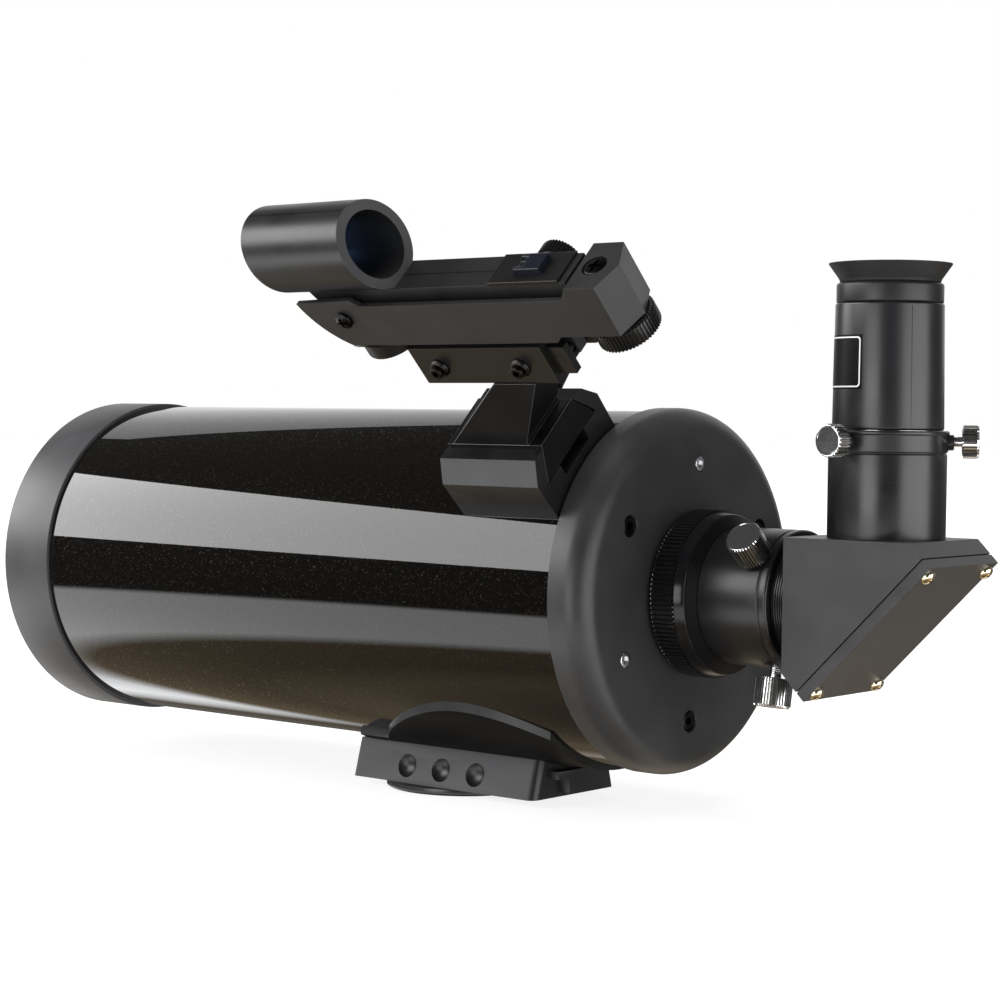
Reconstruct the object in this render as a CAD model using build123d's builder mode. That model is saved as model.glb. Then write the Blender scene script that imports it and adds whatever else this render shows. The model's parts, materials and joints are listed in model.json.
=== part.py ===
from build123d import *
from math import cos, radians, sin, sqrt
import os

# A short-tube Maksutov-Cassegrain telescope with a star diagonal, an eyepiece and a
# red-dot finder. Millimetres. +Y runs along the optical axis to the objective, +X is
# the observer's right, +Z is up. The origin is the mouth of the tripod thread, in the
# centre of the boss under the dovetail bar.

# ---------------------------------------------------------------- driving dimensions
axis_height = 71.3          # optical axis above the tripod boss
boss_from_seam = 82.0       # tripod boss ahead of the rear cell's front edge
clearance = 0.35            # gap between pieces that move past each other
running = 0.075             # radial clearance of a shaft in its bore
through = 40.0              # long enough to cut right through the finder

tube_radius = 56.9
tube_wall = 1.9
tube_length = 232.8
cell_radius = 58.0
front_cell_length = 24.1

corrector_radius = 52.1
corrector_edge = 10.0
corrector_seat = 236.5      # rear face of the glass's rim, from the seam
front_curve = 150.0
back_curve = 153.0

mirror_radius = 51.5
mirror_back = 9.0
mirror_edge = 16.0
mirror_curve = 430.0
baffle_radius = 12.5

rear_face = -13.5           # flat back of the rear cell
pattern_radius = 40.6       # circle of the collimation screws
cell_clock = -2.5           # the cell sits screwed on a little past square
focus_x = 45.5
focus_z = 6.0
focus_travel = 3.5

barrel_radius = 21.3        # visual back
barrel_end = -53.9
screw_y = -46.8
push_fit_radius = 15.875    # 31.75 mm fittings
push_fit_bore = push_fit_radius + running
visual_back_screw_angles = {"a": 139.5, "b": 259.5}

housing_half = 20.1         # star diagonal
housing_front = -59.1
housing_top = 20.0
cover_thickness = 3.8
riser_y = -82.0
riser_radius = 17.4
riser_top = 51.6
riser_screw_z = 48.8
riser_screw_angles = {"a": 170.0, "b": 300.0}

finder_roll = 45.0          # the finder stands at half past ten
shoe_rear = 0.5
shoe_length = 37.6
foot_gap = 0.3
channel_half = 9.5
rail_half = 6.2
pivot_y = 47.5
pivot_n = 127.0
sight_n = 147.5
sight_radius = 13.2
sight_bore = 10.1
altitude_y = -46.0
azimuth_pivot_y = 22.0
azimuth_y = -23.4
azimuth_n = 108.0

bar_rear = 33.4             # dovetail bar, from the seam
bar_length = 78.6
bar_top = -56.0
bar_bottom = -69.0
bar_half_bottom = 22.0
bar_half_top = 18.5
boss_radius = 26.0
boss_bottom = -axis_height
thread_radius = 3.175       # 1/4 in tripod thread
thread_depth = 8.0

# ---------------------------------------------------------------- planes and axes
seam = Vector(0, -boss_from_seam, axis_height)
side = Plane(origin=seam, x_dir=(0, 1, 0), z_dir=(1, 0, 0))
optical_axis = Axis(seam, (0, 1, 0))
square = Plane(origin=seam, x_dir=(1, 0, 0), z_dir=(0, -1, 0))
level = Plane(origin=seam, x_dir=(1, 0, 0), z_dir=(0, 0, 1))
riser_origin = seam + Vector(0, riser_y, 0)
riser_side = Plane(origin=riser_origin, x_dir=(1, 0, 0), z_dir=(0, -1, 0))
riser_axis = Axis(riser_origin, (0, 0, 1))

roll = radians(finder_roll)
across = (cos(roll), 0, sin(roll))      # the finder's left to right
outward = (-sin(roll), 0, cos(roll))    # away from the tube
finder = Plane(origin=seam, x_dir=across, z_dir=outward)
finder_side = Plane(origin=seam, x_dir=(0, 1, 0), z_dir=across)
finder_section = Plane(origin=seam, x_dir=across, z_dir=(0, -1, 0))

os.makedirs("parts", exist_ok=True)


# ---------------------------------------------------------------- shared helpers
def save(builder, label):
    """Name a finished piece and write it to its own file."""
    builder.part.label = label
    export_step(builder.part, f"parts/{label}.step")


def turned(points, plane=side, axis=optical_axis):
    """A solid of revolution from a closed outline of straight edges."""
    with BuildPart() as piece:
        with BuildSketch(plane):
            with BuildLine():
                Polyline(*points, close=True)
            make_face()
        revolve(axis=axis)
    return piece


def sag(curve, radius):
    """Depth of a spherical surface at a radius from its vertex."""
    return curve - sqrt(curve**2 - radius**2)


def radial(angle, y):
    """A plane on the optical axis whose normal points out at an angle from +X."""
    turn = radians(angle)
    return Plane(origin=seam + Vector(0, y, 0), x_dir=(0, 1, 0), z_dir=(cos(turn), 0, sin(turn)))


def riser_radial(angle, z):
    """A plane on the riser's axis whose normal points out at an angle from +X."""
    turn = radians(angle)
    return Plane(origin=riser_origin + Vector(0, 0, z), x_dir=(0, 0, 1), z_dir=(cos(turn), sin(turn), 0))


def on_circle(radius, angle):
    """A point of a circle about the optical axis, on the square plane."""
    return (radius * cos(radians(angle)), radius * sin(radians(angle)))


def thumbscrew(label, plane, shaft_radius, tip, head_radius, head_from, head_to):
    """A thumbscrew along a plane's normal, with a chamfered round head."""
    with BuildPart() as screw:
        with BuildSketch(plane.offset(tip)):
            Circle(shaft_radius)
        extrude(amount=head_from - tip)
        with BuildSketch(plane.offset(head_from)):
            Circle(head_radius)
        extrude(amount=head_to - head_from)
        rims = screw.edges().filter_by(GeomType.CIRCLE).group_by(SortBy.RADIUS)[-1]
        chamfer(rims, length=0.4)
    save(screw, label)


# ---------------------------------------------------------------- tube and front cell
inner_radius = tube_radius - tube_wall
spigot_radius = inner_radius - 0.1
shoe_screw_places = [shoe_rear + shoe_length * k for k in (0.36, 0.80)]
dovetail_screw_places = (45.0, 102.0)
shoe_screw_radius = 2.0
dovetail_screw_radius = 2.5

with BuildPart() as main_tube:
    with BuildSketch(square):
        Circle(tube_radius)
        Circle(inner_radius, mode=Mode.SUBTRACT)
    extrude(amount=-tube_length)
    with BuildSketch(finder.offset(inner_radius - 2)):
        for y in shoe_screw_places:
            with Locations((0, y)):
                Circle(shoe_screw_radius)
    extrude(amount=4, mode=Mode.SUBTRACT)
    with BuildSketch(level.offset(-inner_radius + 2)):
        for y in dovetail_screw_places:
            with Locations((0, y)):
                Circle(dovetail_screw_radius)
    extrude(amount=-5, mode=Mode.SUBTRACT)
save(main_tube, "main_tube")

rim = tube_length + front_cell_length
lip_radius = 50.3
front_cell = turned([
    (tube_length - 8, spigot_radius), (tube_length, spigot_radius),
    (tube_length, cell_radius), (rim - 1, cell_radius), (rim, cell_radius - 1),
    (rim, cell_radius - 3.4), (rim - 5.5, corrector_radius), (corrector_seat, corrector_radius),
    (corrector_seat, lip_radius), (tube_length, lip_radius),
    (tube_length - 3, spigot_radius - 2.3), (tube_length - 8, spigot_radius - 2.3),
])
save(front_cell, "front_cell")

glass_front = corrector_seat + corrector_edge
back_clear = 50.0
front_clear = 50.5
back_vertex = corrector_seat - sag(back_curve, back_clear)
front_vertex = glass_front - sag(front_curve, front_clear)
with BuildPart() as corrector_lens:
    with BuildSketch(side):
        with BuildLine():
            half = back_clear / 2
            ThreePointArc((back_vertex, 0), (back_vertex + sag(back_curve, half), half),
                          (corrector_seat, back_clear))
            Polyline((corrector_seat, back_clear), (corrector_seat, corrector_radius),
                     (glass_front, corrector_radius), (glass_front, front_clear))
            half = front_clear / 2
            ThreePointArc((glass_front, front_clear), (front_vertex + sag(front_curve, half), half),
                          (front_vertex, 0))
            Line((front_vertex, 0), (back_vertex, 0))
        make_face()
    revolve(axis=optical_axis)
save(corrector_lens, "corrector_lens")

corrector_retaining_ring = turned([
    (glass_front, front_clear), (glass_front, corrector_radius),
    (glass_front + 3, corrector_radius), (glass_front + 3, front_clear + 0.4),
])
save(corrector_retaining_ring, "corrector_retaining_ring")

spot_radius = 13.0
spot_thickness = 0.3
with BuildPart() as secondary_mirror:
    with BuildSketch(side):
        with BuildLine():
            half = spot_radius / 2
            ThreePointArc((back_vertex, 0), (back_vertex + sag(back_curve, half), half),
                          (back_vertex + sag(back_curve, spot_radius), spot_radius))
            Line((back_vertex + sag(back_curve, spot_radius), spot_radius),
                 (back_vertex + sag(back_curve, spot_radius) - spot_thickness, spot_radius))
            ThreePointArc((back_vertex + sag(back_curve, spot_radius) - spot_thickness, spot_radius),
                          (back_vertex + sag(back_curve, half) - spot_thickness, half),
                          (back_vertex - spot_thickness, 0))
            Line((back_vertex - spot_thickness, 0), (back_vertex, 0))
        make_face()
    revolve(axis=optical_axis)
save(secondary_mirror, "secondary_mirror")

baffle_foot = back_vertex + sag(back_curve, 15.5)
secondary_baffle = turned([
    (baffle_foot, 15.5), (baffle_foot, 19), (baffle_foot - 1.2, 19),
    (baffle_foot - 1.2, 16.6), (baffle_foot - 30, 18.6), (baffle_foot - 30, 17.8),
])
save(secondary_baffle, "secondary_baffle")

# ---------------------------------------------------------------- rear cell
shoulder = 7.5
port_bore = 17.0
port_radius = 20.0
port_end = -23.5
wall_inside = rear_face + 4
with BuildPart() as rear_cell:
    with BuildSketch(side):
        with BuildLine():
            Polyline((10, spigot_radius), (0, spigot_radius), (0, cell_radius),
                     (rear_face + shoulder, cell_radius))
            RadiusArc((rear_face + shoulder, cell_radius), (rear_face, cell_radius - shoulder), -shoulder)
            Polyline((rear_face, cell_radius - shoulder), (rear_face, port_radius),
                     (port_end, port_radius), (port_end, port_bore), (wall_inside, port_bore),
                     (wall_inside, spigot_radius - 2.3), (10, spigot_radius - 2.3),
                     (10, spigot_radius))
        make_face()
    revolve(axis=optical_axis)
    with Locations(square.offset(-rear_face)):
        with PolarLocations(pattern_radius, 3, start_angle=30 + cell_clock):
            CounterBoreHole(radius=2.1, counter_bore_radius=3.4, counter_bore_depth=2.6, depth=4)
        with PolarLocations(pattern_radius, 3, start_angle=90 + cell_clock):
            Hole(radius=1.5, depth=4)
        with Locations((focus_x, focus_z)):
            Hole(radius=5, depth=4)
save(rear_cell, "rear_cell")

plate_gap = 0.3
plate_thickness = 3.5
plate_back = wall_inside + plate_gap
with BuildPart() as collimation_plate:
    with BuildSketch(square.offset(-plate_back)):
        Circle(47)
        Circle(baffle_radius, mode=Mode.SUBTRACT)
        with Locations((focus_x, focus_z)):
            Circle(8, mode=Mode.SUBTRACT)
        with PolarLocations(pattern_radius, 3, start_angle=30 + cell_clock):
            Circle(2.0, mode=Mode.SUBTRACT)
    extrude(amount=-plate_thickness)
save(collimation_plate, "collimation_plate")

with BuildPart() as collimation_screws:
    for k in range(3):
        place = on_circle(pattern_radius, 30 + cell_clock + 120 * k)
        with BuildSketch(square.offset(-rear_face - 2.6)):
            with Locations(place):
                Circle(2.9)
        extrude(amount=2.2)
        with BuildSketch(square.offset(-rear_face - 0.4)):
            with Locations(place):
                RegularPolygon(radius=1.4, side_count=6)
        extrude(amount=-1.6, mode=Mode.SUBTRACT)
        with BuildSketch(square.offset(-rear_face - 2.6)):
            with Locations(place):
                Circle(2.0)
        extrude(amount=-(plate_gap + plate_thickness + 1.4))
save(collimation_screws, "collimation_screws")

with BuildPart() as lock_screws:
    for k in range(3):
        place = on_circle(pattern_radius, 90 + cell_clock + 120 * k)
        with BuildSketch(square.offset(-rear_face)):
            with Locations(place):
                Circle(1.5)
        extrude(amount=-(4 + plate_gap))
        with BuildSketch(square.offset(-rear_face)):
            with Locations(place):
                RegularPolygon(radius=0.8, side_count=6)
        extrude(amount=-1.2, mode=Mode.SUBTRACT)
save(lock_screws, "lock_screws")

primary_baffle_tube = turned([
    (plate_back, baffle_radius - 1.3), (plate_back, baffle_radius),
    (plate_back + plate_thickness, baffle_radius), (plate_back + plate_thickness, 16),
    (plate_back + plate_thickness + 2, 16), (plate_back + plate_thickness + 2, baffle_radius),
    (104, baffle_radius), (104, baffle_radius - 1.3),
])
save(primary_baffle_tube, "primary_baffle_tube")

# ---------------------------------------------------------------- primary mirror and focus
hub_radius = 15.9
hub_bore = baffle_radius + running
carrier_back = mirror_back - 4.5
mirror_front = mirror_back + mirror_edge
mirror_vertex = mirror_front - sag(mirror_curve, mirror_radius)
shaft_radius = 3.0
shaft_tip = 3.5
nut_back = -3.6

with BuildPart() as primary_mirror:
    with BuildSketch(side):
        with BuildLine():
            middle = (hub_radius + mirror_radius) / 2
            Polyline((mirror_vertex + sag(mirror_curve, hub_radius), hub_radius),
                     (mirror_back, hub_radius), (mirror_back, mirror_radius),
                     (mirror_front, mirror_radius))
            ThreePointArc((mirror_front, mirror_radius),
                          (mirror_vertex + sag(mirror_curve, middle), middle),
                          (mirror_vertex + sag(mirror_curve, hub_radius), hub_radius))
        make_face()
    revolve(axis=optical_axis)
save(primary_mirror, "primary_mirror")

with BuildPart() as mirror_carrier:
    with BuildSketch(square.offset(-carrier_back)):
        Circle(mirror_radius - 0.5)
        Circle(hub_bore, mode=Mode.SUBTRACT)
        with Locations((focus_x, focus_z)):
            Circle(shaft_radius + 0.5, mode=Mode.SUBTRACT)
    extrude(amount=-(mirror_back - carrier_back))
    with BuildSketch(square.offset(-mirror_back)):
        Circle(hub_radius)
        Circle(hub_bore, mode=Mode.SUBTRACT)
    extrude(amount=-24)
save(mirror_carrier, "mirror_carrier")

ring_back = mirror_vertex + sag(mirror_curve, 20) + 0.05
mirror_retaining_ring = turned([
    (ring_back, hub_radius), (ring_back, 20), (ring_back + 3, 20), (ring_back + 3, hub_radius),
])
save(mirror_retaining_ring, "mirror_retaining_ring")

with BuildPart() as focus_nut:
    with BuildSketch(square.offset(-nut_back)):
        with Locations((focus_x, focus_z)):
            Circle(5.5)
            Circle(shaft_radius + running, mode=Mode.SUBTRACT)
    extrude(amount=-(carrier_back - nut_back))
save(focus_nut, "focus_nut")

bushing_face = rear_face - 2
with BuildPart() as focus_bushing:
    with BuildSketch(square.offset(-wall_inside)):
        with Locations((focus_x, focus_z)):
            Circle(5)
    extrude(amount=4)
    with BuildSketch(square.offset(-rear_face)):
        with Locations((focus_x, focus_z)):
            Circle(7)
    extrude(amount=2)
    with BuildSketch(square.offset(-bushing_face)):
        with Locations((focus_x, focus_z)):
            Circle(shaft_radius + running)
    extrude(amount=-8, mode=Mode.SUBTRACT)
save(focus_bushing, "focus_bushing")

knob_front = bushing_face - 0.7
knob_length = 10.5
knob_radius = 12.0
with BuildPart() as focus_shaft:
    with BuildSketch(square.offset(-shaft_tip)):
        with Locations((focus_x, focus_z)):
            Circle(shaft_radius)
    extrude(amount=shaft_tip - knob_front + 8)
    with BuildSketch(square.offset(-wall_inside - 0.4)):
        with Locations((focus_x, focus_z)):
            Circle(4.4)
    extrude(amount=-1.4)
save(focus_shaft, "focus_shaft")

with BuildPart() as focus_knob:
    with BuildSketch(square.offset(-knob_front)):
        with Locations((focus_x, focus_z)):
            Circle(knob_radius)
    extrude(amount=knob_length)
    chamfer(focus_knob.edges().filter_by(GeomType.CIRCLE), length=1)
    with BuildSketch(square.offset(-knob_front)):
        with Locations((focus_x, focus_z)):
            Circle(shaft_radius)
    extrude(amount=8, mode=Mode.SUBTRACT)
save(focus_knob, "focus_knob")

# ---------------------------------------------------------------- visual back
flange_front = -23.5
flange_back = -27.1
visual_back_ring = turned([
    (rear_face - 0.7, port_radius), (rear_face - 0.7, 25.3), (rear_face - 1.7, 26.3),
    (flange_front + 0.6, 26.3), (flange_front, 25.9), (flange_front, port_radius),
])
save(visual_back_ring, "visual_back_ring")

stop_y = -30.0
with BuildPart() as visual_back_barrel:
    with BuildSketch(side):
        with BuildLine():
            Polyline((port_end + 8, port_bore - 0.1), (flange_front, port_bore - 0.1),
                     (flange_front, 26.1), (flange_back + 0.4, 25.0), (flange_back, 24.5),
                     (-29.0, 21.9), (-30.0, barrel_radius), (barrel_end + 0.5, barrel_radius),
                     (barrel_end, barrel_radius - 0.5), (barrel_end, push_fit_bore),
                     (stop_y, push_fit_bore), (stop_y, 13.5), (port_end + 8, 13.5), close=True)
        make_face()
    revolve(axis=optical_axis)
    for angle in visual_back_screw_angles.values():
        with BuildSketch(radial(angle, screw_y).offset(14)):
            Circle(1.9 + running)
        extrude(amount=10, mode=Mode.SUBTRACT)
save(visual_back_barrel, "visual_back_barrel")

head_length = 9.0
head_ends = {"a": 30.8, "b": 33.4}
for key, angle in visual_back_screw_angles.items():
    thumbscrew(f"visual_back_thumbscrew_{key}", radial(angle, screw_y), 1.9,
               push_fit_radius + 0.4, 5.7, head_ends[key] - head_length, head_ends[key])

# ---------------------------------------------------------------- star diagonal
nose_front = stop_y - 1.0
flange_start = barrel_end - 0.4
diagonal_nosepiece = turned([
    (nose_front, 13.6), (nose_front, push_fit_radius - 0.6), (nose_front - 0.6, push_fit_radius),
    (flange_start, push_fit_radius), (flange_start, 19.0), (-55.6, 19.0), (-55.9, 18.4),
    (-56.5, 18.4), (-56.8, 19.0), (-57.4, 19.0), (-57.7, 18.4), (-58.2, 18.4), (-58.4, 19.0),
    (housing_front, 19.0), (housing_front, 13.6),
])
save(diagonal_nosepiece, "diagonal_nosepiece")

top_corner = (-101.5, housing_top)
seam_top = (-105.6, 15.9)
seam_bottom = (-64.2, -25.5)
bottom_corner = (housing_front, -20.4)
cover_plane = Plane(origin=seam + Vector(0, *seam_top), x_dir=(1, 0, 0), z_dir=(0, -1, -1))
cover_length = sqrt(2) * (seam_bottom[0] - seam_top[0])
wall = 2.5
cover_screw_x = 17.0
cover_screw_places = [(x, y) for x in (-cover_screw_x, cover_screw_x)
                      for y in (-3.7, -cover_length + 3.7)]
with BuildPart() as diagonal_housing:
    with BuildSketch(side):
        with BuildLine():
            Polyline((housing_front, housing_top), top_corner, seam_top, seam_bottom,
                     bottom_corner, close=True)
        make_face()
    extrude(amount=housing_half, both=True)
    with BuildSketch(side):
        with BuildLine():
            inner_front = housing_front - wall
            inner_top = housing_top - wall
            Polyline((inner_front, inner_top), (-99.0, inner_top), (-103.6, 12.9),
                     (-113.6, 2.9), (-71.2, -39.5), (inner_front, -29.9), close=True)
        make_face()
    extrude(amount=housing_half - wall, both=True, mode=Mode.SUBTRACT)
    with BuildSketch(cover_plane):
        with Locations(*cover_screw_places):
            Circle(2.8)
    extrude(amount=-9)
    with BuildSketch(cover_plane):
        with Locations(*cover_screw_places):
            Circle(1.25)
    extrude(amount=-8, mode=Mode.SUBTRACT)
    with BuildSketch(square.offset(-housing_front)):
        Circle(13.6)
    extrude(amount=5, mode=Mode.SUBTRACT)
    with BuildSketch(Plane(riser_origin + Vector(0, 0, housing_top))):
        Circle(14.2)
    extrude(amount=-5, mode=Mode.SUBTRACT)
    with BuildSketch(side):
        with BuildLine():
            Polyline((housing_front + 30, 60), (-150, 60), (-150, housing_top),
                     (housing_front, housing_top), (housing_front, -60),
                     (housing_front + 30, -60), close=True)
        make_face()
    extrude(amount=housing_half + 5, both=True, mode=Mode.SUBTRACT)
save(diagonal_housing, "diagonal_housing")

with BuildPart() as diagonal_cover:
    with BuildSketch(cover_plane):
        with Locations((0, -cover_length / 2)):
            Rectangle(2 * housing_half, cover_length)
    extrude(amount=cover_thickness)
    with BuildSketch(cover_plane):
        with Locations(*cover_screw_places):
            Circle(1.25)
    extrude(amount=cover_thickness, mode=Mode.SUBTRACT)
save(diagonal_cover, "diagonal_cover")

dome_radius = 2.4
dome_height = 1.9
with BuildPart() as cover_screws:
    for place in cover_screw_places:
        with BuildSketch(cover_plane.offset(-7)):
            with Locations(place):
                Circle(1.2)
        extrude(amount=7 + cover_thickness)
        with BuildSketch(cover_plane.offset(cover_thickness)):
            with Locations(place):
                Circle(dome_radius)
        extrude(amount=dome_height)
    tops = cover_screws.faces().filter_by(Plane(cover_plane.origin, z_dir=cover_plane.z_dir))
    rims = tops.sort_by(Axis(cover_plane.origin, cover_plane.z_dir))[-4:].edges()
    fillet(rims, radius=1.6)
save(cover_screws, "cover_screws")

mirror_plate = 3.0
with BuildPart() as diagonal_mirror:
    with BuildSketch(cover_plane):
        with Locations((0, -cover_length / 2)):
            Rectangle(26.0, 44.0)
    extrude(amount=-mirror_plate)
save(diagonal_mirror, "diagonal_mirror")

with BuildPart() as eyepiece_holder:
    with BuildSketch(riser_side):
        with BuildLine():
            Polyline((13.9, housing_top), (riser_radius, housing_top), (riser_radius, 45.3),
                     (riser_radius - 0.5, 45.5), (riser_radius - 0.5, 46.0), (riser_radius, 46.2),
                     (riser_radius, riser_top - 1.4), (riser_radius - 0.7, riser_top - 1.2),
                     (riser_radius - 0.7, riser_top), (push_fit_bore, riser_top),
                     (push_fit_bore, 23.0), (13.9, 23.0), close=True)
        make_face()
    revolve(axis=riser_axis)
    for angle in riser_screw_angles.values():
        with BuildSketch(riser_radial(angle, riser_screw_z).offset(16.6)):
            Circle(2.2)
        extrude(amount=2.1)
    for angle in riser_screw_angles.values():
        with BuildSketch(riser_radial(angle, riser_screw_z).offset(14)):
            Circle(1.5 + running)
        extrude(amount=6, mode=Mode.SUBTRACT)
save(eyepiece_holder, "eyepiece_holder")

for key, angle in riser_screw_angles.items():
    thumbscrew(f"diagonal_thumbscrew_{key}", riser_radial(angle, riser_screw_z), 1.5,
               push_fit_radius + 0.4, 4.9, 21.6, 26.5)

# ---------------------------------------------------------------- eyepiece
body_bottom = riser_top + 0.5
body_top = 89.2
ring_top = 95.2
cup_top = 101.0


def upright(points):
    """A solid of revolution about the riser's axis."""
    return turned(points, plane=riser_side, axis=riser_axis)


eyepiece_barrel = upright([
    (14.3, 24.0), (push_fit_radius - 0.5, 24.0), (push_fit_radius, 24.5),
    (push_fit_radius, body_bottom), (15.0, body_bottom), (15.0, body_bottom + 5),
    (13.5, body_bottom + 5), (14.3, body_bottom),
])
save(eyepiece_barrel, "eyepiece_barrel")

eyepiece_body = upright([
    (15.0, body_bottom), (16.0, body_bottom), (16.4, body_bottom + 0.6), (15.9, body_top),
    (13.0, body_top), (13.0, body_bottom + 5), (15.0, body_bottom + 5),
])
save(eyepiece_body, "eyepiece_body")

eyepiece_top_ring = upright([
    (11.0, body_top), (15.5, body_top), (15.6, 91.2), (15.2, 91.4), (15.2, 91.9), (15.6, 92.1),
    (15.5, ring_top), (12.5, ring_top), (12.5, 93.0), (11.0, 93.0),
])
save(eyepiece_top_ring, "eyepiece_top_ring")

with BuildPart() as eyecup:
    with BuildSketch(riser_side):
        with BuildLine():
            Line((12.6, ring_top), (15.3, ring_top))
            ThreePointArc((15.3, ring_top), (16.0, 98.6), (18.15, cup_top))
            Line((18.15, cup_top), (17.0, cup_top))
            ThreePointArc((17.0, cup_top), (14.6, 99.0), (13.9, ring_top + 1.6))
            Polyline((13.9, ring_top + 1.6), (12.6, ring_top + 1.6), (12.6, ring_top))
        make_face()
    revolve(axis=riser_axis)
save(eyecup, "eyecup")

eye_lens = upright([(0, 89.0), (11.0, 89.0), (11.0, 92.0), (6.0, 93.0), (0, 93.4)])
save(eye_lens, "eye_lens")
field_lens = upright([(0, 58.2), (8.0, 58.8), (13.0, 60.4), (13.0, 63.4), (0, 66.4)])
save(field_lens, "field_lens")
field_stop = upright([(10.5, 46.0), (14.3, 46.0), (14.3, 47.5), (10.5, 47.5)])
save(field_stop, "field_stop")

# ---------------------------------------------------------------- dovetail bar and tripod boss
cradle = tube_radius + 0.02
saddle_thickness = 2.0
stop_length = 4.0           # block behind the bar, off to the finder's side
stop_left = -13.5
stop_right = 2.5
stop_top = -60.0
stop_bottom = -67.5
notch_width = 5.5
notch_height = 5.0
dimple_radius = 5.4
dimple_x = 24.0
plug_radius = 12.0
plug_height = 7.0
with BuildPart() as dovetail_bar:
    with BuildSketch(square.offset(-bar_rear)):
        with BuildLine():
            Polyline((-bar_half_top, bar_top), (-bar_half_bottom, bar_bottom),
                     (bar_half_bottom, bar_bottom), (bar_half_top, bar_top), close=True)
        make_face()
    extrude(amount=-bar_length)
    fillet(dovetail_bar.edges().filter_by(Axis.Z, tolerance=20).sort_by(Axis.Y)[:2], radius=3)
    with BuildSketch(square.offset(10)):
        Circle(cradle)
    extrude(amount=-160, mode=Mode.SUBTRACT)
    with BuildSketch(square.offset(-bar_rear + stop_length)):
        with BuildLine():
            notch_right = stop_left + notch_width
            notch_top = stop_bottom + notch_height
            Polyline((stop_left, stop_top), (stop_left, notch_top), (notch_right, notch_top),
                     (notch_right, stop_bottom), (stop_right, stop_bottom),
                     (stop_right, stop_top), close=True)
        make_face()
    extrude(amount=-stop_length - 1)
    for x, turn in ((dimple_x, 0), (-dimple_x, 180)):
        with Locations(*[seam + Vector(x, y, -62.4) for y in (59.2, 74.2, 89.2)]):
            Sphere(radius=dimple_radius, rotation=(0, 0, turn), mode=Mode.SUBTRACT)
    with BuildSketch(level.offset(bar_bottom)):
        with Locations((0, boss_from_seam)):
            Circle(plug_radius)
    extrude(amount=plug_height, mode=Mode.SUBTRACT)
    with BuildSketch(level.offset(bar_bottom)):
        for y in dovetail_screw_places:
            with Locations((0, y)):
                Circle(4.8)
    extrude(amount=5, mode=Mode.SUBTRACT)
    with BuildSketch(level.offset(bar_bottom)):
        for y in dovetail_screw_places:
            with Locations((0, y)):
                Circle(dovetail_screw_radius)
    extrude(amount=16, mode=Mode.SUBTRACT)
save(dovetail_bar, "dovetail_bar")

saddle_centre = 46.0
skirt_half = 22.5
skirt_rear = 28.5
skirt_front = 109.0
saddle_rear = 14.5
with BuildPart() as dovetail_saddle:
    with BuildSketch(level.offset(-60)):
        with Locations((0, saddle_centre)):
            Ellipse(44.0, 58.0)
        with Locations((0, (skirt_rear + skirt_front) / 2)):
            Rectangle(2 * skirt_half, skirt_front - skirt_rear)
    extrude(amount=60)
    with BuildSketch(level.offset(-60)):
        with Locations((0, saddle_rear - 100)):
            Rectangle(120, 200)
    extrude(amount=60, mode=Mode.SUBTRACT)
    with BuildSketch(square):
        Circle(tube_radius + saddle_thickness)
    extrude(amount=-120, mode=Mode.INTERSECT)
    with BuildSketch(square.offset(10)):
        Circle(tube_radius + 0.02)
    extrude(amount=-140, mode=Mode.SUBTRACT)
    with BuildSketch(square.offset(0.1 - bar_rear)):
        with Locations((0, -55)):
            Rectangle(2 * bar_half_top + 1, 30)
    extrude(amount=-140, mode=Mode.SUBTRACT)
save(dovetail_saddle, "dovetail_saddle")

with BuildPart() as tripod_boss:
    with BuildSketch(Plane.XY):
        Circle(boss_radius)
    extrude(amount=axis_height + bar_bottom)
    chamfer(tripod_boss.edges().group_by(Axis.Z)[0], length=0.5)
    with BuildSketch(level.offset(bar_bottom)):
        with Locations((0, boss_from_seam)):
            Circle(plug_radius)
    extrude(amount=plug_height)
    with BuildSketch(Plane.XY):
        Circle(thread_radius)
    extrude(amount=thread_depth, mode=Mode.SUBTRACT)
save(tripod_boss, "tripod_boss")

with BuildPart() as dovetail_screws:
    for y in dovetail_screw_places:
        with BuildSketch(level.offset(bar_bottom + 5)):
            with Locations((0, y)):
                Circle(4.2)
        extrude(amount=-3.5)
        with BuildSketch(level.offset(bar_bottom + 5)):
            with Locations((0, y)):
                Circle(dovetail_screw_radius)
        extrude(amount=12)
save(dovetail_screws, "dovetail_screws")

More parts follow.
